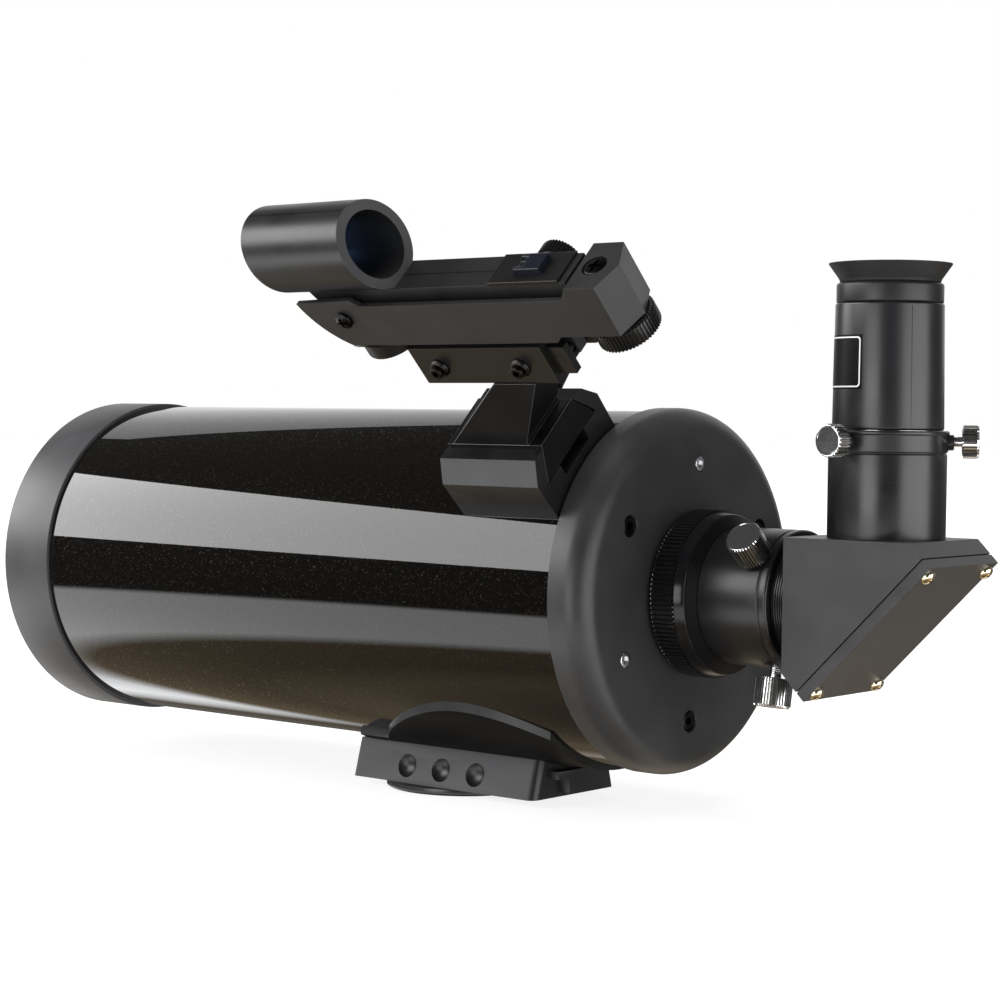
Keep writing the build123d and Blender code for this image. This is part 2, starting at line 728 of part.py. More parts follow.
# ---------------------------------------------------------------- finder shoe and foot
shoe_top = 74.3
shoe_knee = 67.6
groove_floor = 64.5
recess_floor = 60.5
shoe_middle = shoe_rear + shoe_length / 2
lock_t = 17.4
lock_n = 69.5
lock_turn = radians(53.05)   # square to the far rail's sloping face
lock_screw_radius = 1.5
lock_origin = finder.from_local_coords(Vector(lock_t, shoe_middle, lock_n))
lock_plane = Plane(origin=lock_origin, x_dir=(0, 1, 0), z_dir=(cos(lock_turn), 0, sin(lock_turn)))
with BuildPart() as finder_shoe:
    with BuildSketch(finder_section.offset(-shoe_rear)):
        with BuildLine():
            Polyline((-19.6, 51.0), (-20.2, shoe_knee), (-15.5, shoe_top), (-10.6, shoe_top),
                     (-16.2, groove_floor), (-8.0, groove_floor), (-8.0, recess_floor),
                     (8.0, recess_floor), (8.0, groove_floor), (16.2, groove_floor),
                     (10.6, shoe_top), (15.5, shoe_top), (20.2, shoe_knee), (19.6, 51.0), close=True)
        make_face()
    extrude(amount=-shoe_length)
    with BuildSketch(square.offset(10)):
        Circle(cradle)
    extrude(amount=-60, mode=Mode.SUBTRACT)
    with BuildSketch(finder.offset(50)):
        for y in shoe_screw_places:
            with Locations((0, y)):
                Circle(shoe_screw_radius)
    extrude(amount=15, mode=Mode.SUBTRACT)
    with BuildSketch(lock_plane.offset(-8)):
        Circle(lock_screw_radius + running)
    extrude(amount=16, mode=Mode.SUBTRACT)
save(finder_shoe, "finder_shoe")

with BuildPart() as shoe_screws:
    for y in shoe_screw_places:
        with BuildSketch(finder.offset(recess_floor)):
            with Locations((0, y)):
                Circle(3.6)
        extrude(amount=2.2)
        with BuildSketch(finder.offset(recess_floor)):
            with Locations((0, y)):
                Circle(shoe_screw_radius)
        extrude(amount=-9)
save(shoe_screws, "shoe_screws")

thumbscrew("shoe_thumbscrew", lock_plane, lock_screw_radius, -2.6, 4.5, 4.2, 12.6)

foot_top = shoe_top
stalk_half = 10.0
bracket_floor = 100.6
with BuildPart() as finder_foot:
    with BuildSketch(finder_section.offset(-shoe_rear - 0.3)):
        with BuildLine():
            Polyline((-15.3, groove_floor + foot_gap), (-10.1, foot_top), (-10.1, 75.2),
                     (10.1, 75.2), (10.1, foot_top), (15.3, groove_floor + foot_gap), close=True)
        make_face()
    extrude(amount=-shoe_length + 0.6)
    with BuildSketch(finder_side):
        with BuildLine():
            Polyline((36.5, 74.5), (4.5, bracket_floor), (-11.2, bracket_floor), (5.6, 76.5),
                     (5.6, 74.5), close=True)
        make_face()
    extrude(amount=stalk_half, both=True)
save(finder_foot, "finder_foot")

# ---------------------------------------------------------------- finder bracket and slide
bracket_front = 30.2
bracket_rear = -20.0
bracket_top = 114.5
plate = 1.9
screw_places = ((21.7, 107.0), (-9.2, 107.0))
with BuildPart() as finder_bracket:
    with BuildSketch(finder_section.offset(-bracket_rear)):
        with BuildLine():
            Polyline((-channel_half, bracket_floor), (-channel_half, bracket_top),
                     (-channel_half + plate, bracket_top), (-channel_half + plate, bracket_floor + 2),
                     (channel_half - plate, bracket_floor + 2), (channel_half - plate, bracket_top),
                     (channel_half, bracket_top), (channel_half, bracket_floor), close=True)
        make_face()
    extrude(amount=bracket_rear - bracket_front)
    with BuildSketch(finder_side.offset(-through / 2)):
        with Locations(*screw_places):
            Circle(1.5)
    extrude(amount=through, mode=Mode.SUBTRACT)
save(finder_bracket, "finder_bracket")

slide_half = channel_half - plate
slide_top = 115.6
fork_half = 5.0
with BuildPart() as finder_slide:
    with BuildSketch(finder.offset(bracket_floor + 2)):
        with Locations((0, (bracket_front + bracket_rear) / 2)):
            Rectangle(2 * slide_half, bracket_front - bracket_rear)
    extrude(amount=slide_top - bracket_floor - 2)
    with BuildSketch(finder.offset(bracket_floor + 2)):
        for x in (-1, 1):
            with Locations((x * 6.3, bracket_rear - 3.2)):
                Rectangle(2.6, 6.4)
    extrude(amount=10)
    with BuildSketch(finder_side.offset(-through / 2)):
        with Locations((azimuth_y, azimuth_n)):
            Circle(1.5 + running)
    extrude(amount=through, mode=Mode.SUBTRACT)
    with BuildSketch(finder_side.offset(-through / 2)):
        with Locations(*screw_places):
            Circle(1.5)
    extrude(amount=through, mode=Mode.SUBTRACT)
    with BuildSketch(finder.offset(slide_top)):
        with Locations((0, azimuth_pivot_y)):
            Circle(3 + running)
    extrude(amount=-6, mode=Mode.SUBTRACT)
save(finder_slide, "finder_slide")

with BuildPart() as bracket_screws:
    for place in screw_places:
        with BuildSketch(finder_side.offset(-channel_half)):
            with Locations(place):
                Circle(3.1)
        extrude(amount=-1.3)
        with BuildSketch(finder_side.offset(-channel_half - 1.3)):
            with Locations(place):
                Circle(2.3)
        extrude(amount=-1.7)
        with BuildSketch(finder_side.offset(-channel_half - 3)):
            with Locations(place):
                RegularPolygon(radius=1.3, side_count=6)
        extrude(amount=1.6, mode=Mode.SUBTRACT)
        with BuildSketch(finder_side.offset(-channel_half)):
            with Locations(place):
                Circle(1.5)
        extrude(amount=2 * channel_half)
        with BuildSketch(finder_side.offset(channel_half)):
            with Locations(place):
                RegularPolygon(radius=3.0, side_count=6)
        extrude(amount=2.2)
save(bracket_screws, "bracket_screws")

azimuth_screw_radius = 1.5
azimuth_gap = 0.4
with BuildPart() as azimuth_knob:
    with BuildSketch(finder_side.offset(-slide_half)):
        with Locations((azimuth_y, azimuth_n)):
            Circle(azimuth_screw_radius)
    extrude(amount=slide_half + channel_half + azimuth_gap)
    with BuildSketch(finder_side.offset(channel_half + azimuth_gap)):
        with Locations((azimuth_y, azimuth_n)):
            Circle(5.2)
    extrude(amount=5.0)
    rims = azimuth_knob.edges().filter_by(GeomType.CIRCLE).group_by(SortBy.RADIUS)[-1]
    chamfer(rims, length=0.4)
save(azimuth_knob, "azimuth_knob")

# ---------------------------------------------------------------- finder channel
channel_bottom = 116.2
channel_floor = 118.0
wall_top = 131.8
block_top = 136.0
block_front = -39.4
block_rear = -50.9
battery_y = 42.5
battery_radius = 10.2
with BuildPart() as finder_channel:
    with BuildSketch(finder_side):
        with BuildLine():
            ThreePointArc((63.4, 133.6), (57.8, 122.4), (50.5, channel_bottom))
            Polyline((50.5, channel_bottom), (-28.0, channel_bottom), (-30.0, 118.3),
                     (block_rear, 118.3), (block_rear, block_top), (-40.5, block_top),
                     (-37.5, wall_top), (38.4, wall_top), (41.2, 134.3), (63.4, 133.6))
        make_face()
    extrude(amount=channel_half, both=True)
    with BuildSketch(finder_side):
        with BuildLine():
            Polyline((80, channel_floor), (block_front, channel_floor), (block_front, 140),
                     (80, 140), close=True)
        make_face()
    extrude(amount=channel_half - 1.6, both=True, mode=Mode.SUBTRACT)
    with BuildSketch(finder.offset(118.3)):
        with BuildLine():
            ThreePointArc((-channel_half, block_rear), (0, block_rear - 3.5), (channel_half, block_rear))
            Line((channel_half, block_rear), (-channel_half, block_rear))
        make_face()
    extrude(amount=block_top - 118.3)
    with BuildSketch(finder_side):
        with Locations(((block_front + altitude_y - 3.8) / 2 + 1, 127.0)):
            Rectangle(block_front - altitude_y + 5.8, 9.6)
    extrude(amount=4.6, both=True, mode=Mode.SUBTRACT)
    with BuildSketch(finder.offset(110)):
        with Locations((0, altitude_y)):
            Circle(1.75 + running)
    extrude(amount=30, mode=Mode.SUBTRACT)
    with BuildSketch(finder.offset(block_top - 1.6)):
        with Locations((0, altitude_y)):
            Circle(3.9)
    extrude(amount=5, mode=Mode.SUBTRACT)
    with BuildSketch(finder_side.offset(-through / 2)):
        with Locations((pivot_y, pivot_n)):
            Circle(1.5)
    extrude(amount=through, mode=Mode.SUBTRACT)
    with BuildSketch(finder.offset(channel_bottom)):
        with Locations((0, azimuth_pivot_y)):
            Circle(3)
    extrude(amount=-5.5)
    with BuildSketch(finder.offset(channel_bottom)):
        with Locations((0, azimuth_y)):
            Rectangle(4.0, 5.4)
    extrude(amount=-10.6)
    with BuildSketch(finder_side.offset(-4)):
        with Locations((azimuth_y, azimuth_n)):
            Circle(1.9)
    extrude(amount=8, mode=Mode.SUBTRACT)
    with BuildSketch(finder.offset(channel_floor)):
        with Locations((0, battery_y)):
            Circle(7.0)
    extrude(amount=-3, mode=Mode.SUBTRACT)
save(finder_channel, "finder_channel")

holder_bottom = 111.2
battery_pocket = 3.9
with BuildPart() as battery_cover:
    with BuildSketch(finder.offset(channel_bottom - foot_gap)):
        with Locations((0, battery_y)):
            Circle(battery_radius)
    extrude(amount=holder_bottom - channel_bottom + foot_gap)
    with BuildSketch(finder.offset(channel_bottom)):
        with Locations((0, battery_y)):
            Circle(8.2)
    extrude(amount=-battery_pocket, mode=Mode.SUBTRACT)
save(battery_cover, "battery_cover")

with BuildPart() as battery:
    with BuildSketch(finder.offset(channel_bottom - battery_pocket)):
        with Locations((0, battery_y)):
            Circle(8.0)
    extrude(amount=3.2)
save(battery, "battery")

with BuildPart() as battery_tab:
    with BuildSketch(finder.offset(holder_bottom - 0.6)):
        with BuildLine():
            Polyline((-4.0, battery_y + 3), (4.0, battery_y + 3), (4.0, battery_y + 14))
            ThreePointArc((4.0, battery_y + 14), (0, battery_y + 18), (-4.0, battery_y + 14))
            Line((-4.0, battery_y + 14), (-4.0, battery_y + 3))
        make_face()
    extrude(amount=0.6)
save(battery_tab, "battery_tab")

# ---------------------------------------------------------------- red-dot sight
rail_top = 135.5
rail_bottom = 119.6
rail_front = 56.0
rail_rear = block_front + 0.6
cut_slope = 0.3
tube_rear = 28.2
tube_front = 67.6
with BuildPart() as sight_body:
    with BuildSketch(finder_side):
        with BuildLine():
            Polyline((rail_front + 3, rail_top), (rail_front, 128.0), (50.5, rail_bottom),
                     (rail_rear, rail_bottom), (rail_rear, rail_top), close=True)
        make_face()
    extrude(amount=rail_half, both=True)
    with BuildSketch(finder_side):
        with Locations(((rail_rear - 50.0) / 2 + 0.5, 127.0)):
            Rectangle(rail_rear + 49.0, 5.4)
    extrude(amount=4.1, both=True)
    with BuildSketch(finder.offset(120)):
        with Locations((0, altitude_y)):
            SlotOverall(8.0, 5.0, rotation=90)
    extrude(amount=14, mode=Mode.SUBTRACT)
    with BuildSketch(finder_side):
        with Locations((10.0, 126.5)):
            Rectangle(66.0, 9.0)
    extrude(amount=rail_half - 1.6, both=True, mode=Mode.SUBTRACT)
    with BuildSketch(finder_section.offset(-tube_rear + 8)):
        with Locations((0, sight_n)):
            Circle(sight_radius)
    extrude(amount=tube_rear - tube_front - 16)
    with BuildSketch(finder_section.offset(-tube_rear + 8)):
        with Locations((0, sight_n)):
            Circle(sight_bore)
    extrude(amount=tube_rear - tube_front - 16, mode=Mode.SUBTRACT)
    reach = 20.0
    with BuildSketch(finder_side):
        with BuildLine():
            low = sight_n - sight_radius + 1.2
            high = sight_n + reach
            Polyline((tube_rear + cut_slope * (low - sight_n), low), (0, low), (0, high),
                     (tube_rear + cut_slope * reach, high), close=True)
        make_face()
    extrude(amount=20, both=True, mode=Mode.SUBTRACT)
    with BuildSketch(finder_side):
        with BuildLine():
            low = sight_n - reach
            high = sight_n + reach
            Polyline((tube_front - cut_slope * reach, low), (100, low), (100, high),
                     (tube_front + cut_slope * reach, high), close=True)
        make_face()
    extrude(amount=20, both=True, mode=Mode.SUBTRACT)
    with BuildSketch(finder_side.offset(-through / 2)):
        with Locations((pivot_y, pivot_n)):
            Circle(1.5 + running)
    extrude(amount=through, mode=Mode.SUBTRACT)
save(sight_body, "sight_body")

lens_y = 60.0
with BuildPart() as reflex_lens:
    with BuildSketch(finder_side):
        with BuildLine():
            Polyline((lens_y - 3.0, sight_n - sight_bore), (lens_y - 1.0, sight_n - sight_bore),
                     (lens_y + 4.0, sight_n + sight_bore), (lens_y + 2.0, sight_n + sight_bore),
                     close=True)
        make_face()
    extrude(amount=sight_bore, both=True)
    with BuildSketch(finder_section):
        with Locations((0, sight_n)):
            Circle(sight_bore - 0.02)
    extrude(amount=-100, mode=Mode.INTERSECT)
save(reflex_lens, "reflex_lens")

with BuildPart() as led_housing:
    with BuildSketch(finder_side):
        with BuildLine():
            Polyline((-18.5, rail_top), (-20.5, 138.6), (-29.5, 138.6), (-29.5, rail_top), close=True)
        make_face()
    extrude(amount=3.4, both=True)
save(led_housing, "led_housing")

with BuildPart() as pivot_screw:
    with BuildSketch(finder_side.offset(-channel_half)):
        with Locations((pivot_y, pivot_n)):
            Circle(1.5)
    extrude(amount=2 * channel_half)
    with BuildSketch(finder_side.offset(-channel_half)):
        with Locations((pivot_y, pivot_n)):
            Circle(2.8)
    extrude(amount=-2.0)
    with BuildSketch(finder_side.offset(channel_half)):
        with Locations((pivot_y, pivot_n)):
            RegularPolygon(radius=3.0, side_count=6)
    extrude(amount=2.0)
save(pivot_screw, "pivot_screw")

bright_y = -22.0
bright_n = 127.4
with BuildPart() as brightness_knob:
    with BuildSketch(finder_side.offset(channel_half + 0.5)):
        with Locations((bright_y, bright_n)):
            Circle(6.6)
    extrude(amount=5.0)
    chamfer(brightness_knob.edges().filter_by(GeomType.CIRCLE), length=0.5)
save(brightness_knob, "brightness_knob")

knob_top = 118.3 - clearance
with BuildPart() as altitude_knob:
    with BuildSketch(finder.offset(knob_top)):
        with Locations((0, altitude_y)):
            Circle(9.6)
    extrude(amount=-6.2)
    chamfer(altitude_knob.edges().filter_by(GeomType.CIRCLE), length=0.5)
    with BuildSketch(finder.offset(knob_top)):
        with Locations((0, altitude_y)):
            Circle(1.75)
    extrude(amount=-5.0, mode=Mode.SUBTRACT)
save(altitude_knob, "altitude_knob")

with BuildPart() as altitude_screw:
    with BuildSketch(finder.offset(knob_top - 5.0)):
        with Locations((0, altitude_y)):
            Circle(1.75)
    extrude(amount=block_top - 1.6 - knob_top + 5.0 + clearance)
    with BuildSketch(finder.offset(block_top - 1.6 + clearance)):
        with Locations((0, altitude_y)):
            Circle(3.5)
    extrude(amount=1.4)
save(altitude_screw, "altitude_screw")
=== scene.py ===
import json
import bmesh
import bpy
from math import cos, pi, radians, sin, sqrt, tau
from mathutils import Matrix, Quaternion, Vector


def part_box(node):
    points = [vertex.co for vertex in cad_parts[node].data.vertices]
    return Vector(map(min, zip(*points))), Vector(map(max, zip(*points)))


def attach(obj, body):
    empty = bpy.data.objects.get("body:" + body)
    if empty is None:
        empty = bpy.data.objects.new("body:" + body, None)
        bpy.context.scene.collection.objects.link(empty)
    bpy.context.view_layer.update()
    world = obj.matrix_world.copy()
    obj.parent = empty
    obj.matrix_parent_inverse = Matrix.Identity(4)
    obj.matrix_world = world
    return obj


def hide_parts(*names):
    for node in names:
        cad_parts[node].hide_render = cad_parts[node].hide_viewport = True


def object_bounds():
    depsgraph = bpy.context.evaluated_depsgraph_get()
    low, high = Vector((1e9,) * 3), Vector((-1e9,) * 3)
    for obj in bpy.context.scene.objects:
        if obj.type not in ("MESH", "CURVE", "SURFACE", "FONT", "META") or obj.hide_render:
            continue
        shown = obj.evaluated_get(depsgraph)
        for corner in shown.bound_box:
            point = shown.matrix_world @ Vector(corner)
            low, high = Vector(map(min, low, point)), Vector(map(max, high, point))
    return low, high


# A short-tube Maksutov-Cassegrain telescope with a star diagonal, an eyepiece and a red-dot
# finder. Lengths in the shape code are millimetres from the rear cell's front edge on the
# optical axis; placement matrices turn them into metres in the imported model's frame.

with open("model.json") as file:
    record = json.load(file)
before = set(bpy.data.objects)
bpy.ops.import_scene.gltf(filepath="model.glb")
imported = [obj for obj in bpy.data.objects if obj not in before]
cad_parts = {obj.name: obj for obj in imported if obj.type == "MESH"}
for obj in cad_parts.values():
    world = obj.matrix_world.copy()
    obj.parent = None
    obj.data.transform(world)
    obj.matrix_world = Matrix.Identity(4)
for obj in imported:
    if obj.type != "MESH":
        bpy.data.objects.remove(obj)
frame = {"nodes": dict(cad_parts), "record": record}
cad_low, cad_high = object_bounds()
nodes = frame["nodes"]
record = frame["record"]
node_slot = {row["node"]: row["material_slot"] for row in record["subparts"]}
node_body = {node: body for body, members in record["behaviour"]["bodies"].items() for node in members}

MM = 0.001
SHARP_ANGLE = 32
tube_low, tube_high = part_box("main_tube")
seam = Vector((0, tube_low.y, (tube_low.z + tube_high.z) / 2))


# ------------------------------------------------------------------ placement
def placement(origin, along, across):
    """A matrix whose local z runs along and local x across, from millimetres to metres."""
    z = Vector(along).normalized()
    x = Vector(across).normalized()
    y = z.cross(x)
    turn = Matrix((x, y, z)).transposed().to_4x4()
    return Matrix.Translation(seam + Vector(origin) * MM) @ turn @ Matrix.Scale(MM, 4)


ROLL = radians(45)
ACROSS = Vector((cos(ROLL), 0, sin(ROLL)))
OUTWARD = Vector((-sin(ROLL), 0, cos(ROLL)))
OPTICAL = placement((0, 0, 0), (0, 1, 0), (1, 0, 0))
RISER_Y = -82.0
RISER = placement((0, RISER_Y, 0), (0, 0, 1), (1, 0, 0))
HOLDER_SCREWS = (("a", 170.0), ("b", 300.0))
FINDER = placement((0, 0, 0), OUTWARD, ACROSS)


def in_finder(t, y, n):
    """A point of the finder, from its own left-right, lengthwise and outward places."""
    return ACROSS * t + Vector((0, y, 0)) + OUTWARD * n


# ------------------------------------------------------------------ mesh helpers
def add_object(name, data):
    """A new object in the scene."""
    made = bpy.data.objects.new(name, data)
    bpy.context.scene.collection.objects.link(made)
    return made


def mesh_of(name, mesh_data):
    """Turn a bmesh into a mesh, and free the bmesh."""
    mesh = bpy.data.meshes.new(name)
    mesh_data.to_mesh(mesh)
    mesh_data.free()
    return mesh


def shade_smooth(mesh, angle):
    """Smooth shading, with sharp edges where faces meet at more than an angle in degrees."""
    for face in mesh.polygons:
        face.use_smooth = True
    mesh.set_sharp_from_angle(angle=radians(angle))


def finish_mesh(name, mesh_data, node, smooth=SHARP_ANGLE, material=None):
    """Make an object from a bmesh, shade it and set it riding in place of a CAD node."""
    bmesh.ops.recalc_face_normals(mesh_data, faces=mesh_data.faces)
    mesh = mesh_of(name, mesh_data)
    shade_smooth(mesh, smooth)
    piece = add_object(name, mesh)
    slot = node_slot[node]
    piece.data.materials.append(material or materials[slot])
    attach(piece, node_body[node])
    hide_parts(node)
    return piece


def soften(outline, radius, steps=3, closed=True):
    """Round the corners of an outline of (along, radius) points, and keep the shallow ones."""
    result = []
    count = len(outline)
    for i, point in enumerate(outline):
        here = Vector(point)
        if not closed and i in (0, count - 1):
            result.append(tuple(here))
            continue
        back = Vector(outline[i - 1]) - here
        ahead = Vector(outline[(i + 1) % count]) - here
        reach = min(radius, back.length * 0.45, ahead.length * 0.45)
        if back.angle(ahead) > radians(165) or reach < 0.02:
            result.append(tuple(here))
            continue
        start = here + back.normalized() * reach
        end = here + ahead.normalized() * reach
        for k in range(steps + 1):
            s = k / steps
            result.append(tuple(start.lerp(here, s).lerp(here.lerp(end, s), s)))
    return result


def turned_mesh(outline, at, segments=144, flutes=()):
    """A turned solid from a closed outline of (along, radius), with straight knurls where flutes say."""
    made = bmesh.new()
    rings = []
    for along, radius in outline:
        if radius < 1e-6:
            rings.append([made.verts.new(at @ Vector((0, 0, along)))])
            continue
        ring = []
        for k in range(segments):
            depth = 0.0
            for start, end, count, cut in flutes:
                phase = (k * count / segments) % 1.0
                if start - 1e-6 <= along <= end + 1e-6 and phase > 0.45:
                    depth = cut
            angle = tau * k / segments
            reach = radius - depth
            ring.append(made.verts.new(at @ Vector((reach * cos(angle), reach * sin(angle), along))))
        rings.append(ring)
    for i, ring in enumerate(rings):
        other = rings[(i + 1) % len(rings)]
        if len(ring) == 1 and len(other) == 1:
            continue
        for k in range(segments):
            m = (k + 1) % segments
            if len(ring) == 1:
                made.faces.new((ring[0], other[k], other[m]))
            elif len(other) == 1:
                made.faces.new((ring[k], other[0], ring[m]))
            else:
                made.faces.new((ring[k], other[k], other[m], ring[m]))
    return made


def turned(name, outline, at, node, segments=144, flutes=(), smooth=SHARP_ANGLE, material=None):
    """A turned piece in place of a CAD node."""
    made = turned_mesh(outline, at, segments, flutes)
    return finish_mesh(name, made, node, smooth, material)


def prism_mesh(outline, at, low, high):
    """A straight prism from an outline in a placement's xy plane, between two heights."""
    made = bmesh.new()
    lower = [made.verts.new(at @ Vector((x, y, low))) for x, y in outline]
    upper = [made.verts.new(at @ Vector((x, y, high))) for x, y in outline]
    made.faces.new(lower)
    made.faces.new(list(reversed(upper)))
    count = len(outline)
    for i in range(count):
        j = (i + 1) % count
        made.faces.new((lower[i], lower[j], upper[j], upper[i]))
    bmesh.ops.recalc_face_normals(made, faces=made.faces)
    return made


def bevelled(piece, width, segments=2, angle=35):
    """Round a piece's hard edges."""
    bevel = piece.modifiers.new("edge", "BEVEL")
    bevel.width = width * MM
    bevel.segments = segments
    bevel.limit_method = "ANGLE"
    bevel.angle_limit = radians(angle)
    bevel.harden_normals = True
    return piece


def carved(piece, cutters):
    """Cut bmeshes out of a piece, and keep the result as its mesh."""
    helpers = []
    for i, cutter in enumerate(cutters):
        bmesh.ops.recalc_face_normals(cutter, faces=cutter.faces)
        helper = add_object(f"cutter_{i}", mesh_of(f"cutter_{i}", cutter))
        helpers.append(helper)
        cut = piece.modifiers.new(f"cut_{i}", "BOOLEAN")
        cut.operation = "DIFFERENCE"
        cut.solver = "EXACT"
        cut.object = helper
    bpy.context.view_layer.update()
    graph = bpy.context.evaluated_depsgraph_get()
    result = bpy.data.meshes.new_from_object(piece.evaluated_get(graph))
    piece.modifiers.clear()
    piece.data = result
    shade_smooth(result, SHARP_ANGLE)
    for helper in helpers:
        bpy.data.objects.remove(helper)


def refined(node, width, segments=2, angle=35, cutters=(), material=None):
    """A copy of a CAD node with clean faces and rounded edges, in its place."""
    made = bmesh.new()
    made.from_mesh(nodes[node].data)
    bmesh.ops.remove_doubles(made, verts=made.verts, dist=2e-6)
    bmesh.ops.dissolve_limit(made, angle_limit=radians(0.6), verts=made.verts, edges=made.edges)
    piece = finish_mesh(f"{node}_shaped", made, node, material=material)
    if cutters:
        carved(piece, cutters)
    return bevelled(piece, width, segments, angle)


def polygon(radius, sides, turn=0.0):
    """A regular outline round a placement's z."""
    angles = [tau * k / sides + turn for k in range(sides)]
    return [(radius * cos(a), radius * sin(a)) for a in angles]


def cross_outline(arm, width):
    """A cross for a driver's recess."""
    a, w = arm, width / 2
    return [(a, w), (w, w), (w, a), (-w, a), (-w, w), (-a, w),
            (-a, -w), (-w, -w), (-w, -a), (w, -a), (w, -w), (a, -w)]


# ------------------------------------------------------------------ materials
def shader_of(name):
    """A new material, its node tree and its shader."""
    material = bpy.data.materials.new(name)
    material.use_nodes = True
    tree = material.node_tree
    return material, tree, tree.nodes["Principled BSDF"]


def node_of(tree, kind, links=(), **values):
    """Add a shader node, set its named inputs and properties, and link its inputs."""
    made = tree.nodes.new(kind)
    for key, value in values.items():
        if key in made.inputs:
            made.inputs[key].default_value = value
        else:
            setattr(made, key, value)
    for socket, source in links:
        tree.links.new(source, made.inputs[socket])
    return made


def ramp(tree, source, low, high, to_low=0.0, to_high=1.0):
    """Stretch a value so that low to high becomes 0 to 1, or another range."""
    made = node_of(tree, "ShaderNodeMapRange", [("Value", source)])
    made.inputs["From Min"].default_value = low
    made.inputs["From Max"].default_value = high
    made.inputs["To Min"].default_value = to_low
    made.inputs["To Max"].default_value = to_high
    return made.outputs["Result"]


def mixed(tree, factor, first, second):
    """Mix two colours by a factor socket. Each colour is a tuple or a socket."""
    made = node_of(tree, "ShaderNodeMix", data_type="RGBA")
    tree.links.new(factor, made.inputs[0])
    for index, colour in ((6, first), (7, second)):
        if isinstance(colour, tuple):
            made.inputs[index].default_value = (*colour, 1)
        else:
            tree.links.new(colour, made.inputs[index])
    return made.outputs[2]


def object_space(tree):
    return tree.nodes.new("ShaderNodeTexCoord").outputs["Object"]


def noise(tree, space, scale, detail=3.0, roughness=0.5):
    made = node_of(tree, "ShaderNodeTexNoise", [("Vector", space)])
    made.inputs["Scale"].default_value = scale
    made.inputs["Detail"].default_value = detail
    made.inputs["Roughness"].default_value = roughness
    return made.outputs["Fac"]


def bump(tree, height, strength, distance):
    made = node_of(tree, "ShaderNodeBump", [("Height", height)])
    made.inputs["Strength"].default_value = strength
    made.inputs["Distance"].default_value = distance
    return made.outputs["Normal"]


def textured(name, dark, light, rough, grain, grain_depth, specular=0.5):
    """Paint, plastic or rubber: grain in its surface, and slow changes of tone and gloss."""
    material, tree, shader = shader_of(name)
    space = object_space(tree)
    fine = noise(tree, space, grain, 2.0, 0.6)
    broad = noise(tree, space, 55.0, 4.0, 0.6)
    tree.links.new(mixed(tree, ramp(tree, broad, 0.3, 0.7), dark, light), shader.inputs["Base Color"])
    tree.links.new(ramp(tree, broad, 0.3, 0.7, rough - 0.04, rough + 0.05), shader.inputs["Roughness"])
    tree.links.new(bump(tree, fine, 0.6, grain_depth * MM), shader.inputs["Normal"])
    shader.inputs["Specular IOR Level"].default_value = specular
    return material


def flake_lacquer(name):
    """Deep black lacquer with fine bronze flakes under a clear coat."""
    material, tree, shader = shader_of(name)
    space = object_space(tree)
    cells = node_of(tree, "ShaderNodeTexVoronoi", [("Vector", space)])
    cells.inputs["Scale"].default_value = 3600.0
    parts = node_of(tree, "ShaderNodeSeparateColor", [("Color", cells.outputs["Color"])])
    chance = ramp(tree, parts.outputs["Red"], 0.94, 0.995)
    tint = mixed(tree, chance, (0.0028, 0.0024, 0.0020), (0.032, 0.026, 0.020))
    tree.links.new(tint, shader.inputs["Base Color"])
    metal = node_of(tree, "ShaderNodeMath", [(0, chance)], operation="MULTIPLY")
    metal.inputs[1].default_value = 0.9
    tree.links.new(metal.outputs[0], shader.inputs["Metallic"])
    centre = node_of(tree, "ShaderNodeVectorMath", [(0, cells.outputs["Color"])], operation="SUBTRACT")
    centre.inputs[1].default_value = (0.5, 0.5, 0.5)
    tilt = node_of(tree, "ShaderNodeVectorMath", [(0, centre.outputs[0])], operation="SCALE")
    tilt.inputs["Scale"].default_value = 0.30
    normal = tree.nodes.new("ShaderNodeNewGeometry").outputs["Normal"]
    leaned = node_of(tree, "ShaderNodeVectorMath", [(0, normal), (1, tilt.outputs[0])], operation="ADD")
    unit = node_of(tree, "ShaderNodeVectorMath", [(0, leaned.outputs[0])], operation="NORMALIZE")
    tree.links.new(unit.outputs[0], shader.inputs["Normal"])
    shader.inputs["Roughness"].default_value = 0.38
    shader.inputs["Specular IOR Level"].default_value = 0.0
    shader.inputs["Coat Weight"].default_value = 1.0
    shader.inputs["Coat Roughness"].default_value = 0.02
    peel = bump(tree, noise(tree, space, 700.0, 2.0), 0.25, 0.006 * MM)
    tree.links.new(peel, shader.inputs["Coat Normal"])
    return material


def plated(name, colour, rough, streak=900.0, depth=0.004):
    """Bright metal with faint handling marks."""
    material, tree, shader = shader_of(name)
    space = object_space(tree)
    marks = noise(tree, space, streak, 4.0, 0.65)
    dull = tuple(c * 0.86 for c in colour)
    tree.links.new(mixed(tree, ramp(tree, marks, 0.35, 0.7), colour, dull), shader.inputs["Base Color"])
    tree.links.new(ramp(tree, marks, 0.3, 0.75, rough, rough + 0.1), shader.inputs["Roughness"])
    tree.links.new(bump(tree, marks, 0.3, depth * MM), shader.inputs["Normal"])
    shader.inputs["Metallic"].default_value = 1.0
    return material


def optical_glass(name, tint, sheen):
    """Coated glass: clear, with a coloured sheen that smudges break up a little."""
    material, tree, shader = shader_of(name)
    space = object_space(tree)
    smudge = noise(tree, space, 120.0, 3.0)
    tree.links.new(ramp(tree, smudge, 0.0, 1.0, 0.0, 0.03), shader.inputs["Roughness"])
    shader.inputs["Base Color"].default_value = (*tint, 1)
    shader.inputs["Transmission Weight"].default_value = 1.0
    shader.inputs["IOR"].default_value = 1.46
    shader.inputs["Coat Weight"].default_value = 0.6
    shader.inputs["Coat Tint"].default_value = (*sheen, 1)
    shader.inputs["Coat Roughness"].default_value = 0.01
    return material


